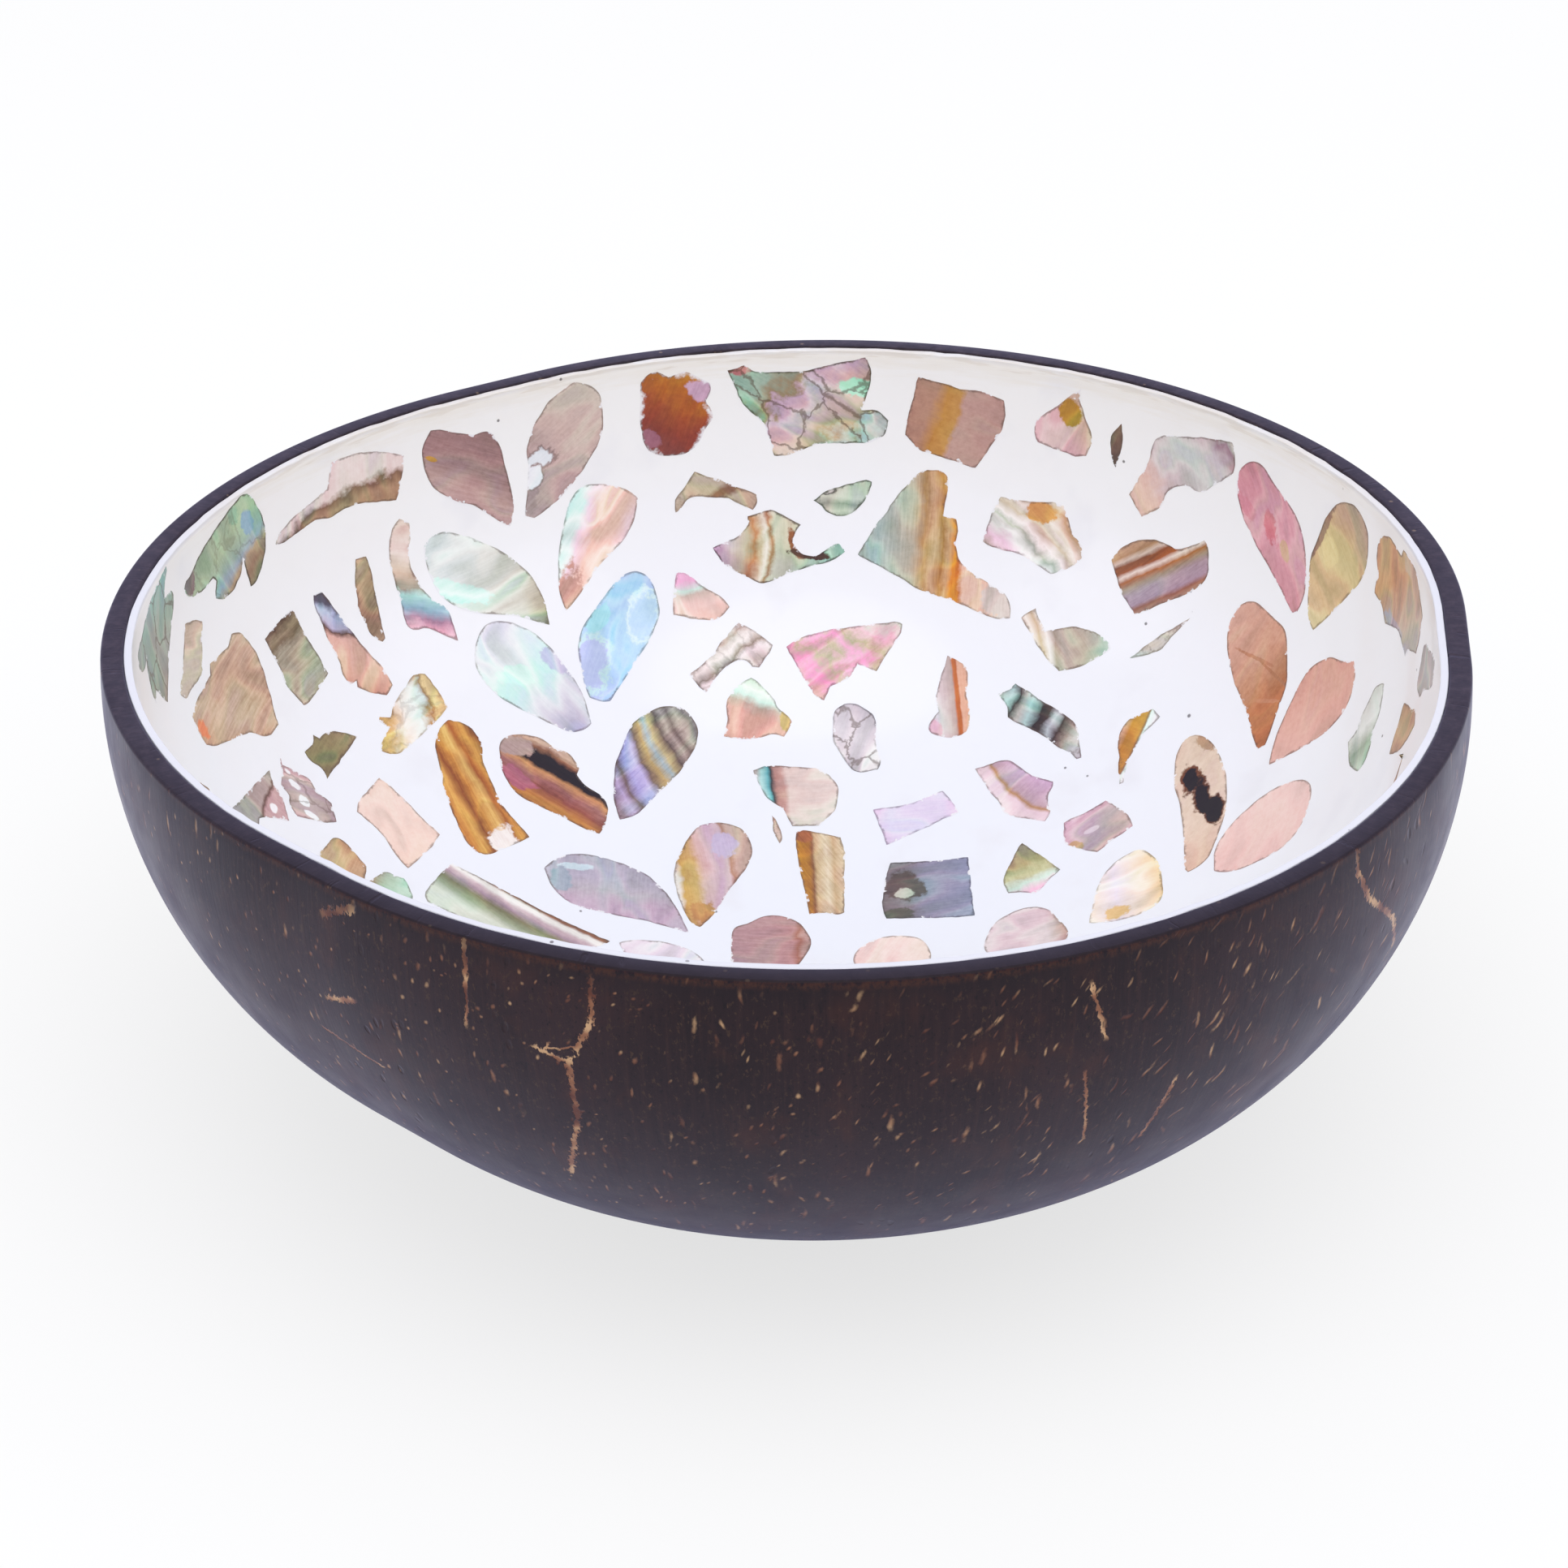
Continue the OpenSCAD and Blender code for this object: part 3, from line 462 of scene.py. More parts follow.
def shell_paint():
    """Polished coconut shell: dark brown, with golden flecks along the fibres, cracks and pits."""
    paint = new_paint("polished_coconut")
    place = place_in_mm(paint)
    x, y, z = split(place)
    away = split(add_node("VectorMath", {0: joined(x, y, 0)}, operation="NORMALIZE"))
    round_x = away[0] * MEAN_RADIUS_MM
    round_y = away[1] * MEAN_RADIUS_MM
    shift = (cloud(place, SHIFT_GRAIN) - 0.5) * SHIFT_MM
    leaning = joined(round_x + shift, round_y + shift, z)
    body, grain, specks = shell_body(place, joined(round_x, round_y, z), leaning)

    dust = cloud(place, DUST_GRAIN, 2, 0.6)
    marks = fleck_marks(place, leaning, dust)
    cracks = crack_marks(paint, dust)
    golden = shades(cloud(place, GOLD_GRAIN), GOLD_SHADES)
    outside = blend(marks * 0.7, body, golden)
    outside = blend(cracks * 0.9, outside, golden)
    outside = blend(under_rim(z, DARK_ZONE) * 0.55, outside, DARK_BROWN)
    front = ease(y, *FRONT_ZONE)
    brow = under_rim(z, BROWN_ZONE) * (front * 0.45)
    outside = blend(brow * ease(specks, 0.35, 0.6), outside, BROW_BROWN)
    sawn = under_rim(z, SAWN_ZONE)

    rough = ease(cloud(place, GLOSS_GRAIN, 3), 0.2, 0.9) * 0.18 + 0.3 + sawn * 0.15
    height = grain * 0.25 - pit_depth(place, leaning) * 0.9
    height = height - calc("MAXIMUM", marks, cracks) * 0.35 + specks * 0.12
    set_surface(paint, {
        "Base Color": blend(sawn, outside, sawn_tone(place, front)), "Roughness": rough,
        "Specular IOR Level": 0.14, "Sheen Weight": 0.25, "Sheen Roughness": 0.45,
        "Sheen Tint": POLISH_TINT, "Normal": raised(height, 0.5, SHELL_BUMP)})
    return paint


coconut = draw_wall("coconut_bowl", 0, WALL, RIM_ROUND)
mark_cracks(coconut)
coconut.data.materials.append(shell_paint())
finish_piece(coconut, "coconut_shell")


# White lacquer lining
# A thick coat of white lacquer over the whole inside, rubbed level with the chips. Small dark
# specks are caught in it, and towards the rim its brushed edge is thin, warm and uneven.
LINING = 0.8 * MM
LINING_ROUND = 0.12 * MM
WORN_DEPTH = 1.5 * LINING_ROUND
EDGE_WEAR = 0.22 * MM
EDGE_WAVE = 3.1 * MM
EDGE_GRAIN = 0.9 * MM
# Specks, as the cell size in millimetres, how rare they are and their width in cells.
LACQUER_SPECKS = ((2.4, 0.93, 0.1), (4.5, 0.93, 0.07))
# Sizes and zones of the lacquer's patterns in millimetres, and its whites, with a painted shade on the top
# edge of the lacquer.
MOTTLE_GRAIN = 9
BRUSH_GRAIN = (7, 0.8, 1)
BRUSH_SWING = 5
WAVE_GRAIN = 4
RIPPLE_GRAIN = 0.7
FAR_ZONE = (5, 45)
IVORY_ZONE = (3.5, 0.8)
WORN_ZONE = (0.9, 0.2)
LACQUER_BUMP = 0.1 * MM
# The last stop is a painted shade on the top edge of the lacquer.
LACQUER_WHITES_AND_TOP_SHADE = {0: "#eaeef7", 0.5: "#f0f1f5", 0.985: "#f3f2f0", 0.995: "#d9dae2"}
MOTTLE_GREY = "#e4e4ea"
IVORY = "#e9e2d4"
WORN_IVORY = "#d8cfc2"
LACQUER_SPECK = "#3a2f2a"


def lacquer_paint():
    """White lacquer under a clear coat, with dark specks, an ivory brushed edge at the rim and painted
    shade on its top edge.
    """
    paint = new_paint("white_lacquer")
    rim = rim_height / MM
    place = place_in_mm(paint)
    x, y, z = split(place)
    # Whites up the wall, and painted shade on the lacquer's top edge.
    tone = shades(calc("DIVIDE", z, rim), LACQUER_WHITES_AND_TOP_SHADE)
    tone = blend(ease(cloud(place, MOTTLE_GRAIN, 3), 0.55, 0.8) * 0.5, tone, MOTTLE_GREY)
    brushed = cloud(joined(calc("ARCTAN2", y, x) * MEAN_RADIUS_MM, z, 0), BRUSH_GRAIN, 3, 0.6)
    below_rim = rim - z + (brushed - 0.5) * BRUSH_SWING
    far_side = ease(y, *FAR_ZONE)
    tone = blend(ease(below_rim, *IVORY_ZONE) * (far_side * 0.4), tone, IVORY)
    tone = blend(ease(below_rim, *WORN_ZONE) * (far_side * 0.5), tone, WORN_IVORY)
    for size, chance, width in LACQUER_SPECKS:
        pick = split(cells(place, size, output="Color"))[0]
        here = ease(cells(place, size), width, width / 2) * ease(pick, chance, chance + 0.01)
        tone = blend(here * 0.8, tone, LACQUER_SPECK)
    waves = cloud(place, WAVE_GRAIN, 2, 0.4) + cloud(place, RIPPLE_GRAIN) * 0.06
    set_surface(paint, {"Base Color": tone, "Roughness": 0.42, "Coat Weight": 0.5, "Coat Roughness": 0.12,
                        "Normal": raised(waves, 0.25, LACQUER_BUMP)})
    return paint


lacquer = draw_wall("white_lacquer_lining", WALL, WALL + LINING, LINING_ROUND)
for corner in lacquer.data.vertices:
    if corner.co.z > rim_height - WORN_DEPTH:
        wear = 0.5 + 0.5 * noise.noise(corner.co / EDGE_WAVE) + 0.4 * noise.noise(corner.co / EDGE_GRAIN)
        corner.co.z -= EDGE_WEAR * min(1, max(0, wear))
lacquer.data.materials.append(lacquer_paint())
finish_piece(lacquer, "lacquer_lining")


# Chips of mother-of-pearl
# Thin plates of several shells, cut or broken to shape and laid flush in the lacquer. Each one is
# drawn on the outline that its solid has, with a filed or ragged edge, and follows the round wall.
CHIP = 0.4 * MM
CHIP_INSET = WALL + LINING + 0.03 * MM
OUTLINE_STEP = 0.35 * MM
EDGE_RINGS = (0.25 * MM, 0.7 * MM)
RING_GAP = 0.92
INNER_STEP = 0.9 * MM
ROW_STEP = INNER_STEP * 0.866
SHARP_TURN = math.radians(48)
SHARP_PULL = 0.08
SOFT_PULL = 0.5
# An edge's rounds of softening, and how far it strays.
FILED_EDGE = (6, 0.12 * MM)
RAGGED_EDGE = (2, 0.22 * MM)
EDGE_WAVES = ((0.65, 1.9 * MM), (0.35, 0.6 * MM))
BOWL_HUB = Vector((0, 0, 45 * MM))
FACING_IN = 0.5
SAME_POINT = 0.001 * MM
CUT_MERGE = 0.0001 * MM
CHIP_SHIFT = 7.3
nacre_paints = {}
seen_chips = []


def upper_outlines(node):
    """The outline of the upper face of each solid in a node, as a ring of points."""
    work = bmesh.new()
    work.from_mesh(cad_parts[node].data)
    bmesh.ops.remove_doubles(work, verts=work.verts, dist=SAME_POINT)
    upper = []
    for face in work.faces:
        middle = face.calc_center_median()
        if face.normal.dot((BOWL_HUB - middle).normalized()) > FACING_IN:
            upper.append(face)
    chosen = set(upper)
    following = {}
    for face in upper:
        for loop in face.loops:
            if not any(other in chosen for other in loop.edge.link_faces if other is not face):
                following[loop.vert] = loop.link_loop_next.vert
    rings = []
    while following:
        corner = next(iter(following))
        ring = []
        while corner in following:
            ring.append(corner.co.copy())
            corner = following.pop(corner)
        rings.append(ring)
    work.free()
    return rings


def in_short_steps(ring):
    """The ring's points in short steps, and which of them are sharp corners."""
    points = []
    sharp = []
    for i, here in enumerate(ring):
        before = here - ring[i - 1]
        step = ring[(i + 1) % len(ring)] - here
        count = max(1, round(step.length / OUTLINE_STEP))
        points += [here + step * k / count for k in range(count)]
        sharp += [before.length > 0 and step.length > 0 and before.angle(step) > SHARP_TURN]
        sharp += [False] * (count - 1)
    return points, sharp


def fine_outline(ring, passes, ragged):
    """The ring in short steps, softened away from its sharp corners, with an uneven edge."""
    points, sharp = in_short_steps(ring)
    for _ in range(passes):
        moved = []
        for i, here in enumerate(points):
            middle = (points[i - 1] + points[(i + 1) % len(points)]) / 2
            moved.append(here.lerp(middle, SHARP_PULL if sharp[i] else SOFT_PULL))
        points = moved
    hub = sum(points, Vector()) / len(points)
    up = (BOWL_HUB - hub).normalized()
    out = []
    for i, here in enumerate(points):
        side = (points[(i + 1) % len(points)] - points[i - 1]).cross(up).normalized()
        uneven = sum(share * noise.noise(here / size) for share, size in EDGE_WAVES)
        out.append(on_layer(here + side * uneven * ragged, CHIP_INSET))
    return out


def chip_axes(middle, half_turn):
    """A chip's own axes: x to the right, y to the far side or up the wall, and z into the bowl."""
    centre = arc_centre(middle)[0]
    up = (centre - middle).normalized()
    climb = math.acos(up.z)
    facing = math.atan2(-up.y, -up.x)
    turn = Matrix.Rotation(facing, 3, "Z") @ Matrix.Rotation(-climb, 3, "Y")
    return centre, turn @ Matrix.Rotation(half_turn - facing, 3, "Z")


class Plate:
    """The points of one chip, with their flat places and their distances to the outline."""

    def __init__(self, ring, half_turn):
        middle = on_layer(sum(ring, Vector()) / len(ring), CHIP_INSET)
        self.centre, self.axes = chip_axes(middle, half_turn)
        self.reach = (middle - self.centre).length
        self.heading = self.axes @ Vector((0, 0, 1))
        border = []
        for point in ring:
            local = self.axes.inverted() @ (point - self.centre)
            border.append(local.xy * (-self.reach / local.z))
        self.near = kdtree.KDTree(len(border))
        for i, place in enumerate(border):
            self.near.insert(place.to_3d(), i)
        self.near.balance()
        self.low = Vector((min(p.x for p in border), min(p.y for p in border)))
        self.high = Vector((max(p.x for p in border), max(p.y for p in border)))
        self.fill(ring, border)

    def distance(self, place):
        return self.near.find(place.to_3d())[2]

    def inner_places(self, border):
        """Two rings of places along the border, and rows of triangles inside them."""
        inner = []
        for depth in EDGE_RINGS:
            for i in range(0, len(border), 1 if depth == EDGE_RINGS[0] else 2):
                along = (border[(i + 1) % len(border)] - border[i - 1]).normalized()
                place = border[i] + Vector((-along.y, along.x)) * depth
                if self.distance(place) > depth * RING_GAP:
                    inner.append(place)
        for row in range(int((self.high.y - self.low.y) / ROW_STEP) + 1):
            y = self.low.y + ROW_STEP * row
            for column in range(int((self.high.x - self.low.x) / INNER_STEP) + 1):
                place = Vector((self.low.x + INNER_STEP * (column + row % 2 / 2), y))
                if self.distance(place) > EDGE_RINGS[1] + INNER_STEP / 2:
                    inner.append(place)
        return inner

    def fill(self, ring, border):
        """Fills the border with triangles and lays their corners on the round wall."""
        sides = [(i, (i + 1) % len(border)) for i in range(len(border))]
        places, _, faces, sources, _, _ = geometry.delaunay_2d_cdt(
            border + self.inner_places(border), sides, [], 1, CUT_MERGE)
        used = sorted({i for face in faces for i in face})
        order = {i: k for k, i in enumerate(used)}
        self.faces = [[order[i] for i in face] for face in faces]
        self.flat = [places[i] for i in used]
        self.points = []
        self.edge = []
        for i in used:
            if sources[i] and sources[i][0] < len(ring):
                self.points.append(ring[sources[i][0]])
                self.edge.append(0.0)
            else:
                raw = self.centre + self.axes @ Vector((places[i].x, places[i].y, -self.reach))
                self.points.append(on_layer(raw, CHIP_INSET))
                self.edge.append(self.distance(places[i]) / MM)

    def shares(self):
        """Each point's place from 0 to 1 across the chip's width and length."""
        size = self.high - self.low
        return [Vector(((p.x - self.low.x) / size.x, (p.y - self.low.y) / size.y)) for p in self.flat]


def facing(turn, climb):
    """The direction that a chip faces, from its turn round the axis and its climb, in degrees."""
    turn = math.radians(turn)
    climb = math.radians(climb)
    return Vector((-math.sin(climb) * math.cos(turn), -math.sin(climb) * math.sin(turn), math.cos(climb)))


def pick_paint(node, heading, places, front):
    """The look of a chip: its node's own, the one known by its place, or that of the rear."""
    if front:
        rear = Vector((-heading.x, -heading.y, heading.z))
        return max(seen_chips, key=lambda seen: seen[0].dot(rear))[1]
    if not places:
        return node
    return max(places, key=lambda name: heading.dot(facing(*places[name])))


def cut_plates(node, places, front):
    """The plates of a node's chips, and the name of each one's look."""
    half_turn = math.pi if front else 0
    plates = []
    looks = []
    for ring in upper_outlines(node):
        heading = Plate(ring, half_turn).heading
        look = pick_paint(node, heading, places, front)
        ring = fine_outline(ring, *(FILED_EDGE if look.endswith("leaf") else RAGGED_EDGE))
        plates.append(Plate(ring, half_turn))
        looks.append(look)
        if not front:
            seen_chips.append((heading, look))
    return plates, looks


def lay_chips(node, places=None, front=False):
    """One object with all the chips of a node, each with its own material."""
    plates, looks = cut_plates(node, places, front)
    names = sorted(set(looks))
    points = []
    faces = []
    slots = []
    for plate, look in zip(plates, looks):
        faces += [[i + len(points) for i in face] for face in plate.faces]
        slots += [names.index(look)] * len(plate.faces)
        points += plate.points
    mesh = bpy.data.meshes.new(node)
    mesh.from_pydata(points, [], faces)
    share = [s for plate in plates for s in plate.shares()]
    grid = mesh.uv_layers.new(name="place")
    for loop in mesh.loops:
        grid.data[loop.index].uv = share[loop.vertex_index]
    flat = [(p.x / MM, p.y / MM, CHIP_SHIFT * k) for k, plate in enumerate(plates) for p in plate.flat]
    keep = mesh.attributes.new("flat", "FLOAT_VECTOR", "POINT")
    keep.data.foreach_set("vector", [part for place in flat for part in place])
    keep = mesh.attributes.new("edge", "FLOAT", "POINT")
    keep.data.foreach_set("value", [e for plate in plates for e in plate.edge])
    for name in names:
        mesh.materials.append(nacre_paints[name])
    mesh.polygons.foreach_set("material_index", slots)
    chips = bpy.data.objects.new("pearl_" + node, mesh)
    bpy.context.scene.collection.objects.link(chips)
    bpy.ops.object.select_all(action="DESELECT")
    chips.select_set(True)
    bpy.context.view_layer.objects.active = chips
    depth = chips.modifiers.new("plate", "SOLIDIFY")
    depth.thickness = CHIP
    depth.offset = -1
    bpy.ops.object.modifier_apply(modifier="plate")
    finish_piece(chips, node)


# Mother-of-pearl
# Polished nacre and shell crust. Each chip has bands of its own colours, patches, growth lines,
# soft clouds of rose, cream, mint and blue, painted highlights on the crests of its folds and
# painted shade in their hollows, thin cracks, and a dark line where the lacquer meets it, partly
# its own dark rim and partly painted shadow of its edge.
FOLD_CREST = 0.53
FOLD_FRINGE = {0.28: "#bcbcbc", 0.38: "#cfb2cc", 0.46: "#eabccc", FOLD_CREST: "#f4eee8", 0.6: "#b4e8d4",
               0.67: "#acc6ea", 0.78: "#bcbcbc"}
GROWTH_SHADES = {0.32: "#86807c", 0.5: "#bcbcbc", 0.68: "#e8e6e4"}
GRAIN_SHADES = {0.3: "#9c9896", 0.5: "#bcbcbc", 0.72: "#d8d6d2"}
# A painted highlight for the crests of the folds, and a painted shade for their hollows.
CREST_HIGHLIGHT = "#fbf9f6"
HOLLOW_SHADE = "#a3968e"
SEAM_BROWN = "#5a4434"
# Partly the chips' own dark rim and partly a painted shadow along their edges.
EDGE_BROWN_AND_SHADOW = "#5c4a40"
LACQUER_WHITE = "#eeeef2"
# Sizes in millimetres of the folds, growth lines, cracks, the two noises and the bites of the edge.
FOLD_SIZE = (8, 4.2, 1)
GROWTH_SIZE = (3.4, 0.32, 1)
SEAM_SIZE = (7.5, 4.6, 5)
WIDE_SIZE = 3.2
FINE_SIZE = 0.7
BITE_SIZE = 2.6
NACRE_BUMP = 0.08 * MM
SEEDS = 97


class Ground:
    """What the layers of one chip's look share: its places, its noises and its growth."""

    def __init__(self, paint, name, growth):
        self.seed = sum(ord(letter) * (i + 1) for i, letter in enumerate(name)) % SEEDS
        self.growth = math.radians(growth)
        self.grid = add_node("UVMap", {}, tree=paint.node_tree, uv_map="place")
        self.flat = own_value(paint, "flat", "Vector")
        self.edge = own_value(paint, "edge")
        seed = self.seed
        self.wide = cloud(turned(self.flat, (seed, 2 * seed, 3 * seed), size=WIDE_SIZE), 1, 3, 0.55, 0.4)
        self.fine = cloud(turned(self.flat, (seed, seed, 0), size=FINE_SIZE), 1, 4, 0.65)
        self.wide_swing = self.wide - 0.5
        self.fine_swing = self.fine - 0.5


def bands(ground, angle, stops, bend, wobble):
    """Bands of colour across a direction, bent and uneven."""
    direction = math.radians(angle)
    reach = abs(math.cos(direction)) + abs(math.sin(direction))
    along, across, _ = split(turned(ground.grid, (0.5, 0.5, 0), direction, (reach, reach, 1)))
    share = along + 0.5 + across * across * bend
    share = share + ground.wide_swing * (wobble * 2) + ground.fine_swing * (wobble * 0.5)
    return shades(share, stops)


def lay_spots(ground, tone, spots):
    """Uneven patches: a place, a width, a height, a turn, a colour and at times a ring's colour."""
    for u, v, width, height, turn, *codes in spots:
        x, y, _ = split(turned(ground.grid, (u, v, 0), math.radians(turn), (width, height, 1)))
        far = add_node("VectorMath", {0: joined(x, y, 0)}, "Value", operation="LENGTH")
        far = far + ground.wide_swing * 1.8 + ground.fine_swing * 0.9
        if len(codes) > 1:
            tone = blend(ease(far, 1.35, 1.05), tone, codes[1])
        tone = blend(ease(far, 1.1, 0.8), tone, codes[0])
    return tone


def lay_folds(ground, tone, clouds, sheen, lines):
    """Pearly folds with painted highlights on their crests and painted shade in their hollows, growth lines
    and fine grain, and their relief.
    """
    seed = ground.seed
    fold = cloud(turned(ground.flat, (seed, 0, 2 * seed), ground.growth, FOLD_SIZE), 1, 1, 0.4, 0.7)
    tone = blend(clouds, tone, shades(fold, FOLD_FRINGE), "SOFT_LIGHT")
    # Painted highlight on the crests of the folds, in a share set by the chip's sheen.
    tone = blend(ease(abs(fold - FOLD_CREST), 0.1, 0) * sheen, tone, CREST_HIGHLIGHT, "OVERLAY")
    # Painted shade in the hollows of the folds.
    tone = blend(ease(fold, 0.45, 0.28) * (0.2 + sheen / 3), tone, HOLLOW_SHADE, "MULTIPLY")
    line = cloud(turned(ground.flat, (0, 0, seed), ground.growth, GROWTH_SIZE), 1, 3, 0.6, 0.3)
    tone = blend(lines, tone, shades(line, GROWTH_SHADES), "SOFT_LIGHT")
    tone = blend(0.5, tone, shades(ground.fine, GRAIN_SHADES), "SOFT_LIGHT")
    return tone, line * 0.3 + ground.fine * 0.4 + fold * 7


def lay_seams(ground, tone, share):
    """A net of thin brown cracks."""
    bent = turned(ground.flat, (0, ground.seed, 0), ground.growth, SEAM_SIZE)
    shift = joined(ground.wide * 0.9, ground.fine * 0.22, 0)
    seam = cells(add_node("VectorMath", {0: bent, 1: shift}, operation="ADD"), feature="DISTANCE_TO_EDGE")
    return blend(ease(seam, 0.04, 0.008) * share, tone, SEAM_BROWN)


def lay_border(ground, tone, rim, rim_share, halo):
    """A broken dark line along the edge, partly the chip's own dark rim and partly painted shadow of its
    edge, and bites of white lacquer in it.
    """
    broken = ease(cloud(turned(ground.flat, (ground.seed, 9, 3), size=BITE_SIZE)), 0.38, 0.56)
    uneven = ground.edge + ground.fine_swing * 0.7
    # The dark line: partly the chip's own dark rim and partly painted shadow of its edge.
    tone = blend(ease(uneven, 0.3, 0.08) * broken * rim_share, tone, rim)
    bitten = ground.edge + ground.fine_swing * 1.8 + broken * 0.5
    return blend(ease(bitten, 0.2 + halo, 0.02) * 0.9, tone, LACQUER_WHITE)


def nacre(name, angle, stops, spots=(), bend=0.0, wobble=0.12, streak=None, lines=0.22, cracks=0.0,
          clouds=0.4, sheen=0.12, rim=EDGE_BROWN_AND_SHADOW, rim_share=0.6, halo=0.0):
    """One chip's look, from colours at shares of its length along a direction, in degrees."""
    paint = new_paint(name)
    ground = Ground(paint, name, angle if streak is None else streak)
    tone = bands(ground, angle, stops, bend, wobble)
    tone = lay_spots(ground, tone, spots)
    tone, relief = lay_folds(ground, tone, clouds, sheen, lines)
    if cracks:
        tone = lay_seams(ground, tone, cracks)
    tone = lay_border(ground, tone, rim, rim_share, halo)
    set_surface(paint, {"Base Color": tone, "Roughness": ground.fine * 0.16 + 0.26,
                        "Specular IOR Level": 0.3, "Coat Weight": 0.18, "Coat Roughness": 0.1,
                        "Normal": raised(relief, 0.35, NACRE_BUMP)})
    nacre_paints[name] = paint


def chip(name, *look, **layers):
    """A chip with a node of its own, and its look."""
    nacre(name, *look, **layers)
    lay_chips(name)


# Leaves of the left spray
# Twelve leaf-shaped chips sawn from several kinds of shell, laid like leaves of one twig. Most
# run upwards to the left, and their colours go from mauve and taupe to mint, blue and ochre.
chip("mauve_leaf", 90, {0: "#b09490", 0.25: "#b99a94", 0.45: "#9c7c7a", 1: "#967672"},
    spots=((0.13, 0.44, 0.06, 0.03, 0, "#b8863a"),), streak=5, lines=0.3, clouds=0.2, sheen=0.05)
chip("taupe_leaf", 90, {0: "#ac9490", 0.35: "#b8a09c", 0.65: "#c4b0a6", 1: "#c6b4aa"},
    spots=((0.3, 0.12, 0.15, 0.12, 0, "#a48e8c"), (0.25, 0.4, 0.2, 0.07, 20, "#dfe6ea", "#8c7a74"),
    (0.28, 0.27, 0.1, 0.08, 0, "#e6eaee", "#8c7a74")), streak=60, clouds=0.25, sheen=0.1)
chip("green_leaf", 0, {0: "#d3e4e0", 0.3: "#dde8e2", 0.55: "#d2dacd", 0.8: "#bcc2ae", 1: "#8c8e6a"},
    spots=((0.3, 0.2, 0.3, 0.12, 20, "#d0f5ea"),), streak=40, lines=0.3, clouds=0.5, sheen=0.3)
chip("peach_leaf", -10, {0: "#cfeee6", 0.22: "#d9efe9", 0.3: "#f3d9e2", 0.45: "#efc9b4", 0.7: "#f0cdbb",
    0.85: "#f5dbe0", 1: "#f0cfc0"}, spots=((0.35, 0.08, 0.25, 0.25, 20, "#c79c88"),), streak=70,
    lines=0.3, clouds=0.5, sheen=0.35)
chip("white_leaf", -35, {0: "#d5d8e6", 0.3: "#dfe9ea", 0.5: "#cdeee4", 0.65: "#d4dbe2", 0.85: "#b9bccb",
    1: "#98a5d0"}, spots=((0.68, 0.72, 0.2, 0.1, -30, "#c4c6dc"), (0.35, 0.45, 0.18, 0.1, 30, "#d2f5ea")),
    lines=0.2, clouds=0.45, sheen=0.2)
chip("blue_leaf", 80, {0: "#b4c4ee", 0.3: "#aed6f8", 0.6: "#a8d6f0", 1: "#a6c4e8"},
    spots=((0.8, 0.72, 0.2, 0.18, 0, "#bce0f6", "#d4f0f4"),
    (0.2, 0.25, 0.24, 0.22, 0, "#c0d0f6", "#c8ecf0"), (0.2, 0.58, 0.16, 0.08, 30, "#a6e4ee")), lines=0.2,
    clouds=0.35, sheen=0.1)
chip("rust_leaf", 65, {0: "#c08a44", 0.14: "#c98a3c", 0.24: "#a8682c", 0.34: "#b87a3c", 0.42: "#8a4a3c",
    0.5: "#9c6460", 0.57: "#c89060", 0.6: "#1a0c09", 0.68: "#120907", 0.72: "#8a5a40", 0.76: "#c9a690",
    0.9: "#b59a97", 1: "#a88d8a"}, spots=((0.2, 0.5, 0.16, 0.1, -20, "#a86070"),
    (0.1, 0.85, 0.18, 0.12, 0, "#b0948c")), bend=0.25, wobble=0.05, streak=-25, lines=0.4, clouds=0.15,
    sheen=0.06)
chip("rainbow_leaf", 50, {0: "#8c7c80", 0.1: "#7f6f7c", 0.18: "#b0a4c8", 0.24: "#6a5c58", 0.31: "#9c9cd0",
    0.38: "#b4b0dc", 0.43: "#6a5c50", 0.5: "#b4a068", 0.56: "#9cb4b8", 0.6: "#b8ac7c", 0.66: "#5c5048",
    0.72: "#a49a90", 0.77: "#6c6058", 0.83: "#b0a89c", 0.89: "#7a7068", 1: "#a89e94"}, bend=-0.45,
    wobble=0.05, streak=55, lines=0.5, clouds=0.35, sheen=0.15)
chip("lavender_leaf", 90, {0: "#bda8bc", 0.35: "#b9a6b8", 0.5: "#aeacb4", 0.7: "#b4b0c0", 1: "#a8a8b4"},
    spots=((0.2, 0.8, 0.14, 0.06, 10, "#c8dce4"), (0.12, 0.6, 0.08, 0.2, 0, "#9cacb8")), clouds=0.25,
    sheen=0.06)
chip("ochre_leaf", 15, {0: "#dedad6", 0.14: "#dcd4cc", 0.2: "#c09850", 0.33: "#c4a064", 0.42: "#cdaca4",
    0.58: "#caa8b8", 0.68: "#ccb0b4", 0.72: "#a87c64", 0.78: "#c7ab9c", 1: "#b8a090"},
    spots=((0.62, 0.8, 0.18, 0.12, 0, "#c6b4cc"), (0.4, 0.12, 0.2, 0.14, 0, "#b88850")), bend=0.5,
    wobble=0.08, streak=100, clouds=0.25)
chip("pale_leaf", 60, {0: "#d6cfda", 0.5: "#ddd6e0", 1: "#e2dde4"}, lines=0.2, clouds=0.5, sheen=0.2)
chip("dusky_leaf", 0, {0: "#a8888a", 0.5: "#b08b8c", 0.78: "#b58a88", 0.85: "#a06a58", 0.92: "#b8958c",
    1: "#a88a80"}, lines=0.3, clouds=0.2, sheen=0.05)

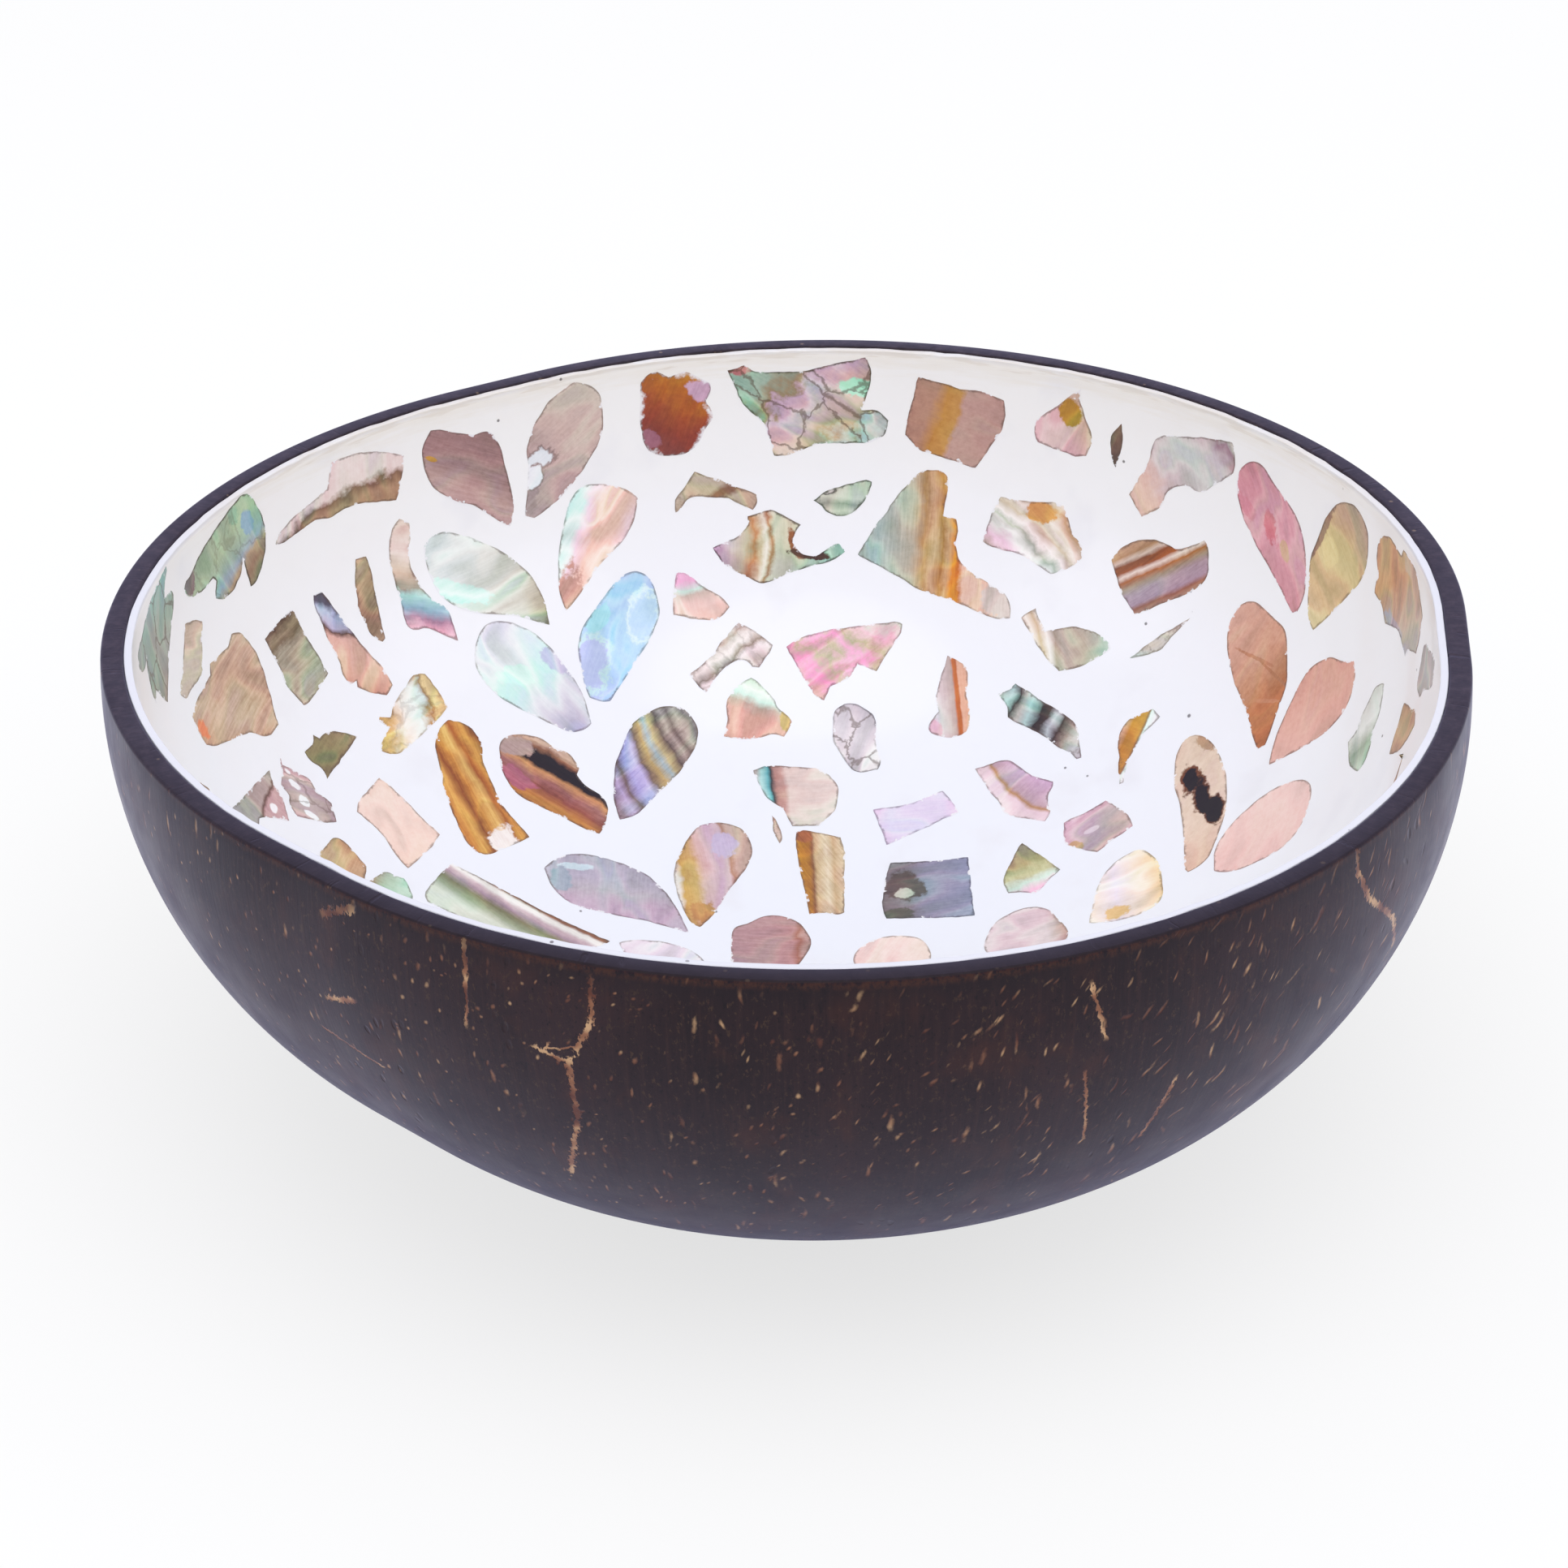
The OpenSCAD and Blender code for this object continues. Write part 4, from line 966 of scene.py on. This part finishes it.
# Leaves of the right spray
# Nine leaf-shaped chips of warmer shell, rose, olive, salmon, gold and cream, that point the
# other way.
chip("rose_leaf", 70, {0: "#cf9498", 0.5: "#d8a0a8", 0.85: "#c98c94", 1: "#b88284"},
    spots=((0.45, 0.6, 0.22, 0.1, 30, "#cc7880"), (0.25, 0.8, 0.12, 0.1, 0, "#cf8a94"),
    (0.8, 0.15, 0.15, 0.08, 0, "#cf7c84"), (0.45, 0.39, 0.1, 0.05, 20, "#c8a488")), clouds=0.3, sheen=0.1)
chip("olive_leaf", 0, {0: "#d6bd92", 0.35: "#d2b886", 0.65: "#c4aa78", 0.82: "#b09478", 1: "#a08674"},
    spots=((0.5, 0.95, 0.35, 0.07, 0, "#8d7058"), (0.5, 0.7, 0.1, 0.16, -15, "#d8c088")), streak=75,
    clouds=0.3, sheen=0.15)
chip("veined_leaf", 90, {0: "#b56f45", 0.3: "#b8744a", 0.42: "#c08763", 0.6: "#cc9a80", 1: "#d2a694"},
    spots=((0.45, 0.6, 0.3, 0.02, -35, "#bb8262"), (0.6, 0.42, 0.26, 0.02, -50, "#b57c5a"),
    (0.35, 0.3, 0.2, 0.02, -20, "#bf8461")), streak=20, lines=0.15, clouds=0.15, sheen=0.04)
chip("salmon_leaf", 30, {0: "#e6bcb0", 0.5: "#dca898", 1: "#cf9684"}, streak=50, lines=0.12, clouds=0.12,
    sheen=0.04)
chip("blotched_leaf", 90, {0: "#dcb8a2", 0.5: "#dfc6b4", 1: "#d6bca8"},
    spots=((0.85, 0.9, 0.2, 0.1, -20, "#b08d70"), (0.37, 0.7, 0.16, 0.1, 0, "#6a3a1c"),
    (0.52, 0.55, 0.18, 0.15, 0, "#6a3a1c"), (0.66, 0.4, 0.18, 0.14, 0, "#6a3a1c"),
    (0.38, 0.69, 0.12, 0.08, 0, "#120805"), (0.52, 0.54, 0.14, 0.13, 0, "#120805"),
    (0.66, 0.4, 0.14, 0.12, 0, "#120805")), streak=40, lines=0.12, clouds=0.12, sheen=0.1)
chip("blush_leaf", 60, {0: "#e8bfb8", 0.5: "#ecc8c0", 1: "#eed0c8"}, lines=0.1, clouds=0.12, sheen=0.05)
chip("gold_leaf", 0, {0: "#f1e4cc", 0.4: "#eee6ee", 0.65: "#f0e2d0", 1: "#eccf96"},
    spots=((0.4, 0.15, 0.2, 0.12, 0, "#eac98a"),), lines=0.2, sheen=0.3)
chip("shell_pink_leaf", 0, {0: "#d9c8cc", 0.75: "#d6c2c6", 0.92: "#b59a92", 1: "#a88c80"}, lines=0.25,
    clouds=0.3, sheen=0.15)
chip("cream_leaf", 60, {0: "#e6c9c0", 0.5: "#eacfc8", 1: "#edd6cc"}, lines=0.2, clouds=0.3, sheen=0.15)

# Broken chips of the rear wall
# Twenty-eight broken pieces of abalone, oyster and crust, in two uneven rows under the rim and
# between the sprays. Their colours change fast, and several have dark seams or burnt edges.
chip("green_lobes", 0, {0: "#8fa98c", 0.3: "#9db892", 0.5: "#8fae9a", 0.62: "#8fa6ae", 0.72: "#a39574",
    0.85: "#857158", 1: "#6e6a50"}, spots=((0.4, 0.85, 0.15, 0.06, 0, "#7d9db0"),
    (0.1, 0.08, 0.15, 0.1, 0, "#6f5f5c"), (0.15, 0.75, 0.15, 0.08, 0, "#7fa98a")), cracks=0.3, sheen=0.15,
    rim="#4a3f2c", rim_share=0.9)
chip("horn_crescent", 135, {0: "#a08a70", 0.35: "#8a6f52", 0.48: "#a08466", 0.53: "#6f5540",
    0.58: "#dccac4", 0.75: "#e3d0cc", 1: "#d8c8c0"}, bend=0.3, wobble=0.08)
chip("amber_flake", 80, {0: "#7d3f3c", 0.3: "#84382a", 0.55: "#9a4a28", 0.75: "#b0651f", 0.9: "#b57c28",
    1: "#a8842c"}, spots=((0.85, 0.82, 0.22, 0.14, 0, "#c9a6bd"), (0.22, 0.14, 0.16, 0.1, 0, "#9a6070")),
    wobble=0.2, clouds=0.15, sheen=0.02, halo=0.55)
chip("green_abalone", -35, {0: "#7db39a", 0.25: "#8fb39c", 0.36: "#8a8460", 0.42: "#b7a6b6",
    0.6: "#cdb0a4", 0.72: "#a89878", 0.8: "#a9c2b8", 1: "#c0a8a0"},
    spots=((0.8, 0.7, 0.12, 0.1, 0, "#9fe8c4"), (0.08, 0.9, 0.1, 0.08, 0, "#a8706c")), wobble=0.2,
    cracks=0.65, clouds=0.6, sheen=0.2, rim="#3f3a22", rim_share=0.8)
chip("taupe_hexagon", -30, {0: "#a98074", 0.3: "#ae8470", 0.4: "#b98440", 0.49: "#bd8c4c",
    0.52: "#b8948a", 1: "#b48e84"}, wobble=0.06, lines=0.12, clouds=0.12, sheen=0.02)
chip("olive_pink_shard", 0, {0: "#dcb5b8", 0.5: "#d6b0b0", 0.8: "#c9b09a", 1: "#c4ab92"},
    spots=((0.68, 0.7, 0.17, 0.25, 0, "#a88028"),), streak=50)
chip("grey_pink_abalone", 0, {0: "#dcb6a2", 0.2: "#d8b8aa", 0.35: "#cfc0c0", 0.6: "#c6c9c4",
    0.8: "#cdbfc0", 0.92: "#a07c84", 1: "#bcb8b0"}, wobble=0.14, streak=70, clouds=0.25, sheen=0.1)
chip("brown_streak", 60, {0: "#a9a0a4", 0.3: "#b3a08e", 0.6: "#b98a5c", 0.85: "#b98f66", 1: "#a8825e"},
    spots=((0.9, 0.3, 0.15, 0.3, 0, "#b59c80"), (0.08, 0.4, 0.12, 0.3, 0, "#a9a0a4")), streak=10,
    lines=0.4)
chip("beige_hook", -40, {0: "#c0ac94", 0.42: "#bca68c", 0.48: "#8a5f44", 0.54: "#8a5f44", 0.6: "#bca68c",
    1: "#b8a288"}, wobble=0.08)
chip("green_half_moon", 80, {0: "#7d8874", 0.2: "#c4c8b4", 0.35: "#8b9684", 0.5: "#c4ccb8", 1: "#aab4a0"},
    spots=((0.25, 0.78, 0.12, 0.12, 0, "#d8d6cc", "#4d5544"),), rim="#4d5544", rim_share=0.9)
chip("bitten_shard", 0, {0: "#a88aa8", 0.12: "#b8a8b0", 0.24: "#a9a48c", 0.3: "#a8744a", 0.35: "#b8a284",
    0.4: "#dcd4c0", 0.44: "#a07048", 0.48: "#c8c4ac", 0.6: "#b3ad95", 0.8: "#a9c8b0", 1: "#7fb8a0"},
    spots=((0.62, 0.55, 0.05, 0.2, 10, "#7a4a28"), (0.72, 0.42, 0.16, 0.06, -10, "#4a2e1c")), bend=0.2,
    wobble=0.08, streak=90, sheen=0.25, rim="#3a241a", rim_share=0.75)
chip("big_triangle", -12, {0: "#a3a99a", 0.2: "#9fb7b0", 0.38: "#b4b09a", 0.46: "#b08c58",
    0.51: "#c4a27c", 0.56: "#a9793a", 0.6: "#c9a070", 0.64: "#d98a28", 0.67: "#c8731a", 0.7: "#e0b8a0",
    1: "#dcbca8"}, spots=((0.95, 0.1, 0.12, 0.2, 0, "#d0c4ba"),), wobble=0.05, streak=78, lines=0.4,
    clouds=0.3)
chip("striped_diamond", 30, {0: "#c9b8a8", 0.1: "#b9e4cc", 0.18: "#f2f2ee", 0.24: "#b9a99c",
    0.32: "#f0cfdf", 0.4: "#f2f2ee", 0.46: "#a8b0a0", 0.52: "#f2e6e2", 0.58: "#c4ac98", 0.66: "#e8d8cc",
    0.76: "#c8a078", 0.86: "#e4d4c8", 1: "#b9a08c"}, spots=((0.68, 0.72, 0.16, 0.12, -40, "#d09050"),),
    bend=0.3, wobble=0.08, streak=-60, clouds=0.3, sheen=0.3)
chip("striped_flag", 84, {0: "#8f6a54", 0.08: "#a07c68", 0.14: "#8f5a44", 0.2: "#a38c9a", 0.34: "#a8949c",
    0.42: "#948470", 0.5: "#a0602c", 0.56: "#e0d0c4", 0.61: "#9a5526", 0.69: "#8a4c24", 0.74: "#d8c4b4",
    0.8: "#b08a64", 1: "#b99a80"}, wobble=0.035, streak=5, lines=0.35, clouds=0.2, sheen=0.08)
chip("bone_shard", -45, {0.2: "#e8e0dc", 0.33: "#a8988c", 0.42: "#f0e4e0", 0.5: "#85796c",
    0.56: "#ecdcde", 0.66: "#c8b8b0", 0.8: "#f0e0e8"}, cracks=0.2, clouds=0.3, sheen=0.3)
chip("bright_pink_shard", 35, {0: "#a89c78", 0.2: "#d8a4a0", 0.3: "#f098c0", 0.42: "#b8a88c",
    0.54: "#f0a0c8", 0.67: "#b4a484", 0.8: "#e8b0c0", 1: "#c0dcc0"}, wobble=0.25, sheen=0.2)
chip("mint_peach_shard", 75, {0: "#c08478", 0.12: "#e0a898", 0.4: "#dca898", 0.52: "#b8a494",
    0.62: "#c8ecdc", 0.75: "#e8f4ea", 0.85: "#b0dcb8", 1: "#d8c890"},
    spots=((0.9, 0.35, 0.08, 0.2, 0, "#c9a868"),), clouds=0.3, sheen=0.2)
chip("silver_crystal", 70, {0: "#bcbcbe", 0.5: "#dcdcde", 1: "#b6b6ba"}, cracks=0.6, clouds=0.6,
    sheen=0.5, rim="#3c3a3c")
chip("orange_bar", 0, {0: "#e4e0e4", 0.35: "#cdc2c2", 0.64: "#b5a79c", 0.69: "#b8672a", 0.76: "#b8672a",
    0.79: "#dcae90", 1: "#dcae90"}, spots=((0.15, 0.15, 0.16, 0.15, 0, "#dfb0bc"),), wobble=0.05,
    streak=88)
chip("black_bar", -45, {0: "#7c8878", 0.12: "#a8ccc8", 0.2: "#2d2622", 0.28: "#a3a5a0", 0.36: "#a8ccc8",
    0.44: "#2d2622", 0.52: "#3d332c", 0.6: "#b8c4c8", 0.68: "#3a2f28", 0.78: "#8c8078", 0.88: "#c4c0bc",
    1: "#b8a8b0"}, wobble=0.08, streak=-45, sheen=0.2)
chip("fish_shard", 0, {0: "#b09878", 0.1: "#ece4d8", 0.18: "#c8b490", 0.26: "#ece8e0", 0.34: "#a89c88",
    0.42: "#b4ac9c", 0.7: "#aaa490", 1: "#a4bcac"}, bend=0.2, wobble=0.05, streak=110)
chip("pink_lips", 40, {0: "#dcb8ae", 0.3: "#ecd8dc", 0.44: "#e4ccd4", 0.48: "#b0885a", 0.52: "#b8a0a8",
    0.75: "#d0b0cc", 1: "#dcb4c4"}, bend=-0.6, wobble=0.05, clouds=0.3, sheen=0.15)
chip("pink_brown_shard", -45, {0: "#d8b4c8", 0.35: "#c4a4ac", 0.55: "#b09a9e", 0.7: "#b89c98",
    1: "#c4a0b0"}, spots=((0.14, 0.22, 0.12, 0.1, 0, "#b0906c"), (0.42, 0.5, 0.1, 0.05, 20, "#d8c4c8")),
    streak=30, sheen=0.2)
chip("lavender_oblong", 0, {0: "#e0c8e4", 0.2: "#dcd4ea", 0.8: "#dcd4ea", 1: "#e0c8e4"}, lines=0.2,
    clouds=0.3, sheen=0.05, rim="#7d7486", rim_share=0.7)
chip("grey_square", 0, {0: "#6c6866", 0.3: "#7c7a80", 0.5: "#8c8fa2", 1: "#8a94ac"},
    spots=((0.24, 0.62, 0.24, 0.24, 0, "#5c524c"), (0.24, 0.5, 0.1, 0.08, 0, "#b8bcae"),
    (0.12, 0.15, 0.2, 0.12, 0, "#565a4c")), clouds=0.35, sheen=0.08, rim="#3a3434")
chip("olive_kite", -80, {0: "#8a8068", 0.4: "#9c8f66", 0.6: "#b0b48c", 0.72: "#c8e4d4", 0.85: "#f0c4d8",
    1: "#f2c8da"}, sheen=0.2)
chip("teal_beige_shard", 5, {0: "#8a8a8c", 0.1: "#b9b4ae", 0.16: "#a9dcd8", 0.22: "#5fb0b4",
    0.25: "#2c3a38", 0.3: "#a88478", 0.38: "#b8968a", 0.44: "#d6c6bc", 1: "#dccfc6"}, wobble=0.05)
chip("ochre_fan", 5, {0: "#c08a34", 0.16: "#b87c22", 0.3: "#a86e28", 0.36: "#8a5a38", 0.42: "#c8a880",
    0.62: "#dcc8ac", 0.75: "#c0a07c", 1: "#d8c4a8"}, spots=((0.15, 0.93, 0.2, 0.08, 0, "#a8643c"),),
    wobble=0.04, streak=-60, lines=0.6, clouds=0.15)

# Smaller chips at the sides
# Broken pieces, bands and slivers that fill the left and right walls and the gaps in between.
# Each one has its own look and is known by its place: a turn round the axis and a climb.
nacre("orange_fin", -60, {0: "#cbb09c", 0.3: "#b99a80", 0.55: "#c9aa92", 0.8: "#b8926f", 1: "#cf9468"},
    spots=((0.2, 0.08, 0.13, 0.07, 0, "#e08050"),), streak=85, lines=0.5, clouds=0.25)
nacre("gold_shard", 50, {0: "#8a6a48", 0.2: "#d8b068", 0.4: "#efe6d8", 0.6: "#dce8e0", 0.68: "#a07a48",
    0.74: "#e0c488", 1: "#a07c50"}, wobble=0.2, cracks=0.2, sheen=0.3, rim="#8a6a48")
nacre("olive_shard", 80, {0: "#6f6a48", 0.6: "#7d7550", 1: "#8a7c5c"})
nacre("green_star", 0, {0: "#7fa8a0", 0.35: "#8e9a8c", 0.7: "#8e9a8c", 1: "#85786c"}, cracks=0.7,
    rim="#4c4a3c")
nacre("rose_band", -70, {0: "#cdb0a4", 0.3: "#dcc4ba", 0.45: "#c8a898", 0.54: "#8a8478", 0.6: "#a8dcd4",
    0.7: "#8fb8c8", 0.78: "#9a7a90", 0.88: "#e8a8b8", 1: "#b8e8d8"}, wobble=0.08, streak=20, clouds=0.3,
    sheen=0.3)
nacre("amber_band", 45, {0.22: "#d8a8a0", 0.28: "#c07c34", 0.35: "#d8a050", 0.41: "#8a4a1c",
    0.46: "#c88a3c", 0.52: "#e0b468", 0.56: "#a45a20", 0.62: "#d09848", 0.68: "#6a3214", 0.72: "#c89048",
    0.78: "#3a1c0c"}, spots=((0.8, 0.14, 0.2, 0.12, -45, "#f0e6e0"),), bend=0.25, wobble=0.03, streak=-55,
    lines=0.5, clouds=0.15, sheen=0.1)
nacre("striped_band", 45, {0.3: "#d4dccc", 0.37: "#98a484", 0.43: "#7c7c58", 0.48: "#a08c98",
    0.52: "#c8b4b8", 0.55: "#f0eeea", 0.58: "#eceae4", 0.6: "#8a5e40", 0.66: "#6e4630", 0.72: "#8a5e40"},
    wobble=0.02, streak=-35, clouds=0.2, sheen=0.06)
nacre("speckled_slab", -20, {0: "#6f5640", 0.14: "#5c4432", 0.24: "#9c8c70", 0.32: "#7a6a50",
    0.42: "#a09c84", 0.75: "#a8a48e", 1: "#b8a08c"}, streak=70, lines=0.5)
nacre("pink_slab", -60, {0: "#3c3436", 0.12: "#4c4a5c", 0.2: "#a8b8d4", 0.3: "#b4b4cc", 0.36: "#5a4438",
    0.42: "#d8b0a0", 0.7: "#dab098", 0.9: "#c8967e", 1: "#b88a70"})
nacre("peach_slab", -60, {0: "#e0b8a4", 0.2: "#efd6ca", 0.7: "#f0d4c6", 1: "#ecccb8"}, lines=0.12,
    clouds=0.12, sheen=0.05)
nacre("beige_sliver", 60, {0: "#bfe4d4", 0.2: "#cbb8a0", 0.8: "#cbb8a0", 1: "#bfe4d4"})
nacre("brown_bean", 0, {0: "#b49a7c", 0.35: "#a0846a", 0.6: "#8a7058", 1: "#a88c70"}, streak=80,
    lines=0.5)
nacre("grey_shard", 0, {0: "#9c948c", 0.5: "#a89c94", 0.55: "#5c4438", 0.62: "#b89a98", 1: "#c0a4a4"},
    spots=((0.7, 0.6, 0.08, 0.06, 0, "#f0eef0"), (0.75, 0.3, 0.07, 0.08, 0, "#f0eef0")))
nacre("lace_shard", 30, {0: "#a88a84", 0.5: "#c4a8a8", 1: "#a08078"},
    spots=((0.3, 0.65, 0.1, 0.07, 0, "#f0eef0"), (0.5, 0.45, 0.08, 0.1, 0, "#f0eef0"),
    (0.65, 0.25, 0.1, 0.06, 0, "#f0eef0"), (0.15, 0.8, 0.07, 0.06, 0, "#f0eef0")), cracks=0.4, sheen=0.3)
nacre("tan_shard", 80, {0: "#b8966c", 0.6: "#c4a47c", 1: "#a8865c"}, lines=0.35)
nacre("green_fan", 0, {0: "#8a6c50", 0.35: "#9ab49c", 1: "#b4dcc4"})
nacre("tan_sliver", 60, {0: "#c0a07c", 1: "#b08c68"}, lines=0.4)
nacre("green_sliver", 60, {0: "#b8ccb8", 0.35: "#8fa890", 0.6: "#dce4dc", 1: "#b0b8ac"})
nacre("brown_fin", 20, {0: "#9c7c60", 0.5: "#b0906c", 1: "#8c6848"}, lines=0.35)
nacre("grey_sliver", 20, {0: "#98948e", 0.5: "#aaa69e", 1: "#8e8880"})
nacre("dark_splinter", 40, {0: "#5c4c40", 1: "#74604c"})
nacre("pale_splinter", 10, {0: "#cfe8dc", 0.3: "#cfc4b4", 1: "#c8bcb0"})
nacre("peach_square", 110, {0: "#e8c4b0", 0.4: "#ecccc0", 0.6: "#cdbcac", 0.7: "#d0ece0", 0.82: "#f0b4d4",
    1: "#f0c0d8"}, sheen=0.3)
nacre("ochre_crescent", -45, {0.2: "#c8a080", 0.28: "#b8802c", 0.41: "#c08a38", 0.44: "#8a6a48",
    0.46: "#e4f4ec", 0.55: "#f0e6ee", 0.7: "#c8f0e0"}, wobble=0.02)
nacre("thin_petal", 70, {0: "#c8a890", 0.5: "#d8bca8", 1: "#b89478"})
lay_chips("left_wall_shards", {"orange_fin": (162, 69), "gold_shard": (140, 50), "olive_shard": (154, 51),
    "green_star": (174, 87)})
lay_chips("curved_bands", {"rose_band": (132, 69), "amber_band": (137, 34), "striped_band": (151, 18)})
lay_chips("left_slabs", {"speckled_slab": (151, 67), "pink_slab": (143, 65), "peach_slab": (153, 36)})
lay_chips("left_slivers", {"beige_sliver": (167, 78), "brown_bean": (139, 69), "grey_shard": (164, 56),
    "lace_shard": (159, 50), "tan_shard": (165, 39), "green_fan": (163, 30), "tan_sliver": (177, 67)})
lay_chips("right_slivers", {"green_sliver": (12, 66), "brown_fin": (3, 73), "grey_sliver": (1, 83)})
lay_chips("thin_splinters", {"dark_splinter": (57, 85), "pale_splinter": (47, 57),
    "peach_square": (101, 56), "ochre_crescent": (42, 40), "thin_petal": (90, 17)})

# Chips of the hidden front half
# The photo doesn't show the front half of the inside, so it repeats the chips of the rear half,
# turned half a turn about the axis, in the same kinds of shell.
for node in ("front_left_leaves", "front_right_leaves", "front_shards"):
    lay_chips(node, front=True)

# Studio
# A plain white floor and backdrop under large soft lights, seen from 29 degrees above the rim.
CAMERA_AT = Vector((-1.26, -348.5, 228.6)) * MM
CAMERA_LENS = 88.2
CAMERA_TILT = math.radians(60.6)
CAMERA_ROLL = math.radians(-0.53)
SENSOR_WIDTH = 36
NEAREST_SEEN = 0.01
FARTHEST_SEEN = 20
FLOOR_WIDTH = 12
FLOOR_LIFT = 0.72
SKY_LIGHT = 0.9
MIRRORED_LIFT = 0.3
SEEN_LIFT = 0.09
# Lamps, as a name, a place, the point it aims at, its width in metres and its power in watts.
LAMPS = (
    ("top_light", (0.05, -0.3, 0.85), (0, 0.02, 0.02), 0.8, 2.4),
    ("left_light", (-0.8, -0.35, 0.5), (0, 0, 0.03), 0.6, 0.8),
    ("right_light", (0.8, -0.3, 0.45), (0, 0, 0.03), 0.6, 0.8),
)


def floor_paint():
    """A matt white that the camera sees as nearly pure white."""
    paint = new_paint("studio_white")
    tree = paint.node_tree
    set_surface(paint, {"Roughness": 0.9, "Specular IOR Level": 0.1, "Base Color": "#f8f8fa"})
    lit = Field(tree.nodes["Principled BSDF"].outputs[0])
    seen_white = add_node("Emission", {"Color": "#fdfdfd"}, tree=tree)
    to_camera = add_node("LightPath", {}, "Is Camera Ray", tree)
    mixed = add_node("MixShader", {0: to_camera * FLOOR_LIFT, 1: lit, 2: seen_white})
    put(tree.nodes["Material Output"].inputs["Surface"], mixed)
    return paint


def soft_light(name, place, aim, width, power):
    data = bpy.data.lights.new(name, "AREA")
    data.shape = "DISK"
    data.size = width
    data.energy = power
    lamp = bpy.data.objects.new(name, data)
    bpy.context.scene.collection.objects.link(lamp)
    lamp.location = place
    lamp.rotation_euler = (Vector(aim) - Vector(place)).to_track_quat("-Z", "Y").to_euler()


bpy.ops.mesh.primitive_plane_add(size=FLOOR_WIDTH)
studio_floor = bpy.context.object
studio_floor.name = "studio_floor"
studio_floor.data.materials.append(floor_paint())

sky = bpy.data.worlds.new("studio_sky")
bpy.context.scene.world = sky
sky.use_nodes = True
sky_light = sky.node_tree.nodes["Background"]
mirrored = add_node("LightPath", {}, "Is Glossy Ray", sky.node_tree)
seen = add_node("LightPath", {}, "Is Camera Ray", sky.node_tree)
put(sky_light.inputs["Color"], blend(mirrored, "#fcfdff", "#dcd8ff"))
put(sky_light.inputs["Strength"], mirrored * MIRRORED_LIFT + SKY_LIGHT + seen * SEEN_LIFT)

for lamp in LAMPS:
    soft_light(*lamp)

bpy.ops.object.camera_add(location=CAMERA_AT, rotation=(0, 0, 0))
camera = bpy.context.object
camera.name = "photo_camera"
turn = Matrix.Rotation(CAMERA_TILT, 4, "X") @ Matrix.Rotation(CAMERA_ROLL, 4, "Z")
camera.rotation_euler = turn.to_euler()
camera.data.lens = CAMERA_LENS
camera.data.sensor_width = SENSOR_WIDTH
camera.data.clip_start = NEAREST_SEEN
camera.data.clip_end = FARTHEST_SEEN
bpy.context.scene.camera = camera
bpy.context.scene.view_settings.view_transform = "Standard"
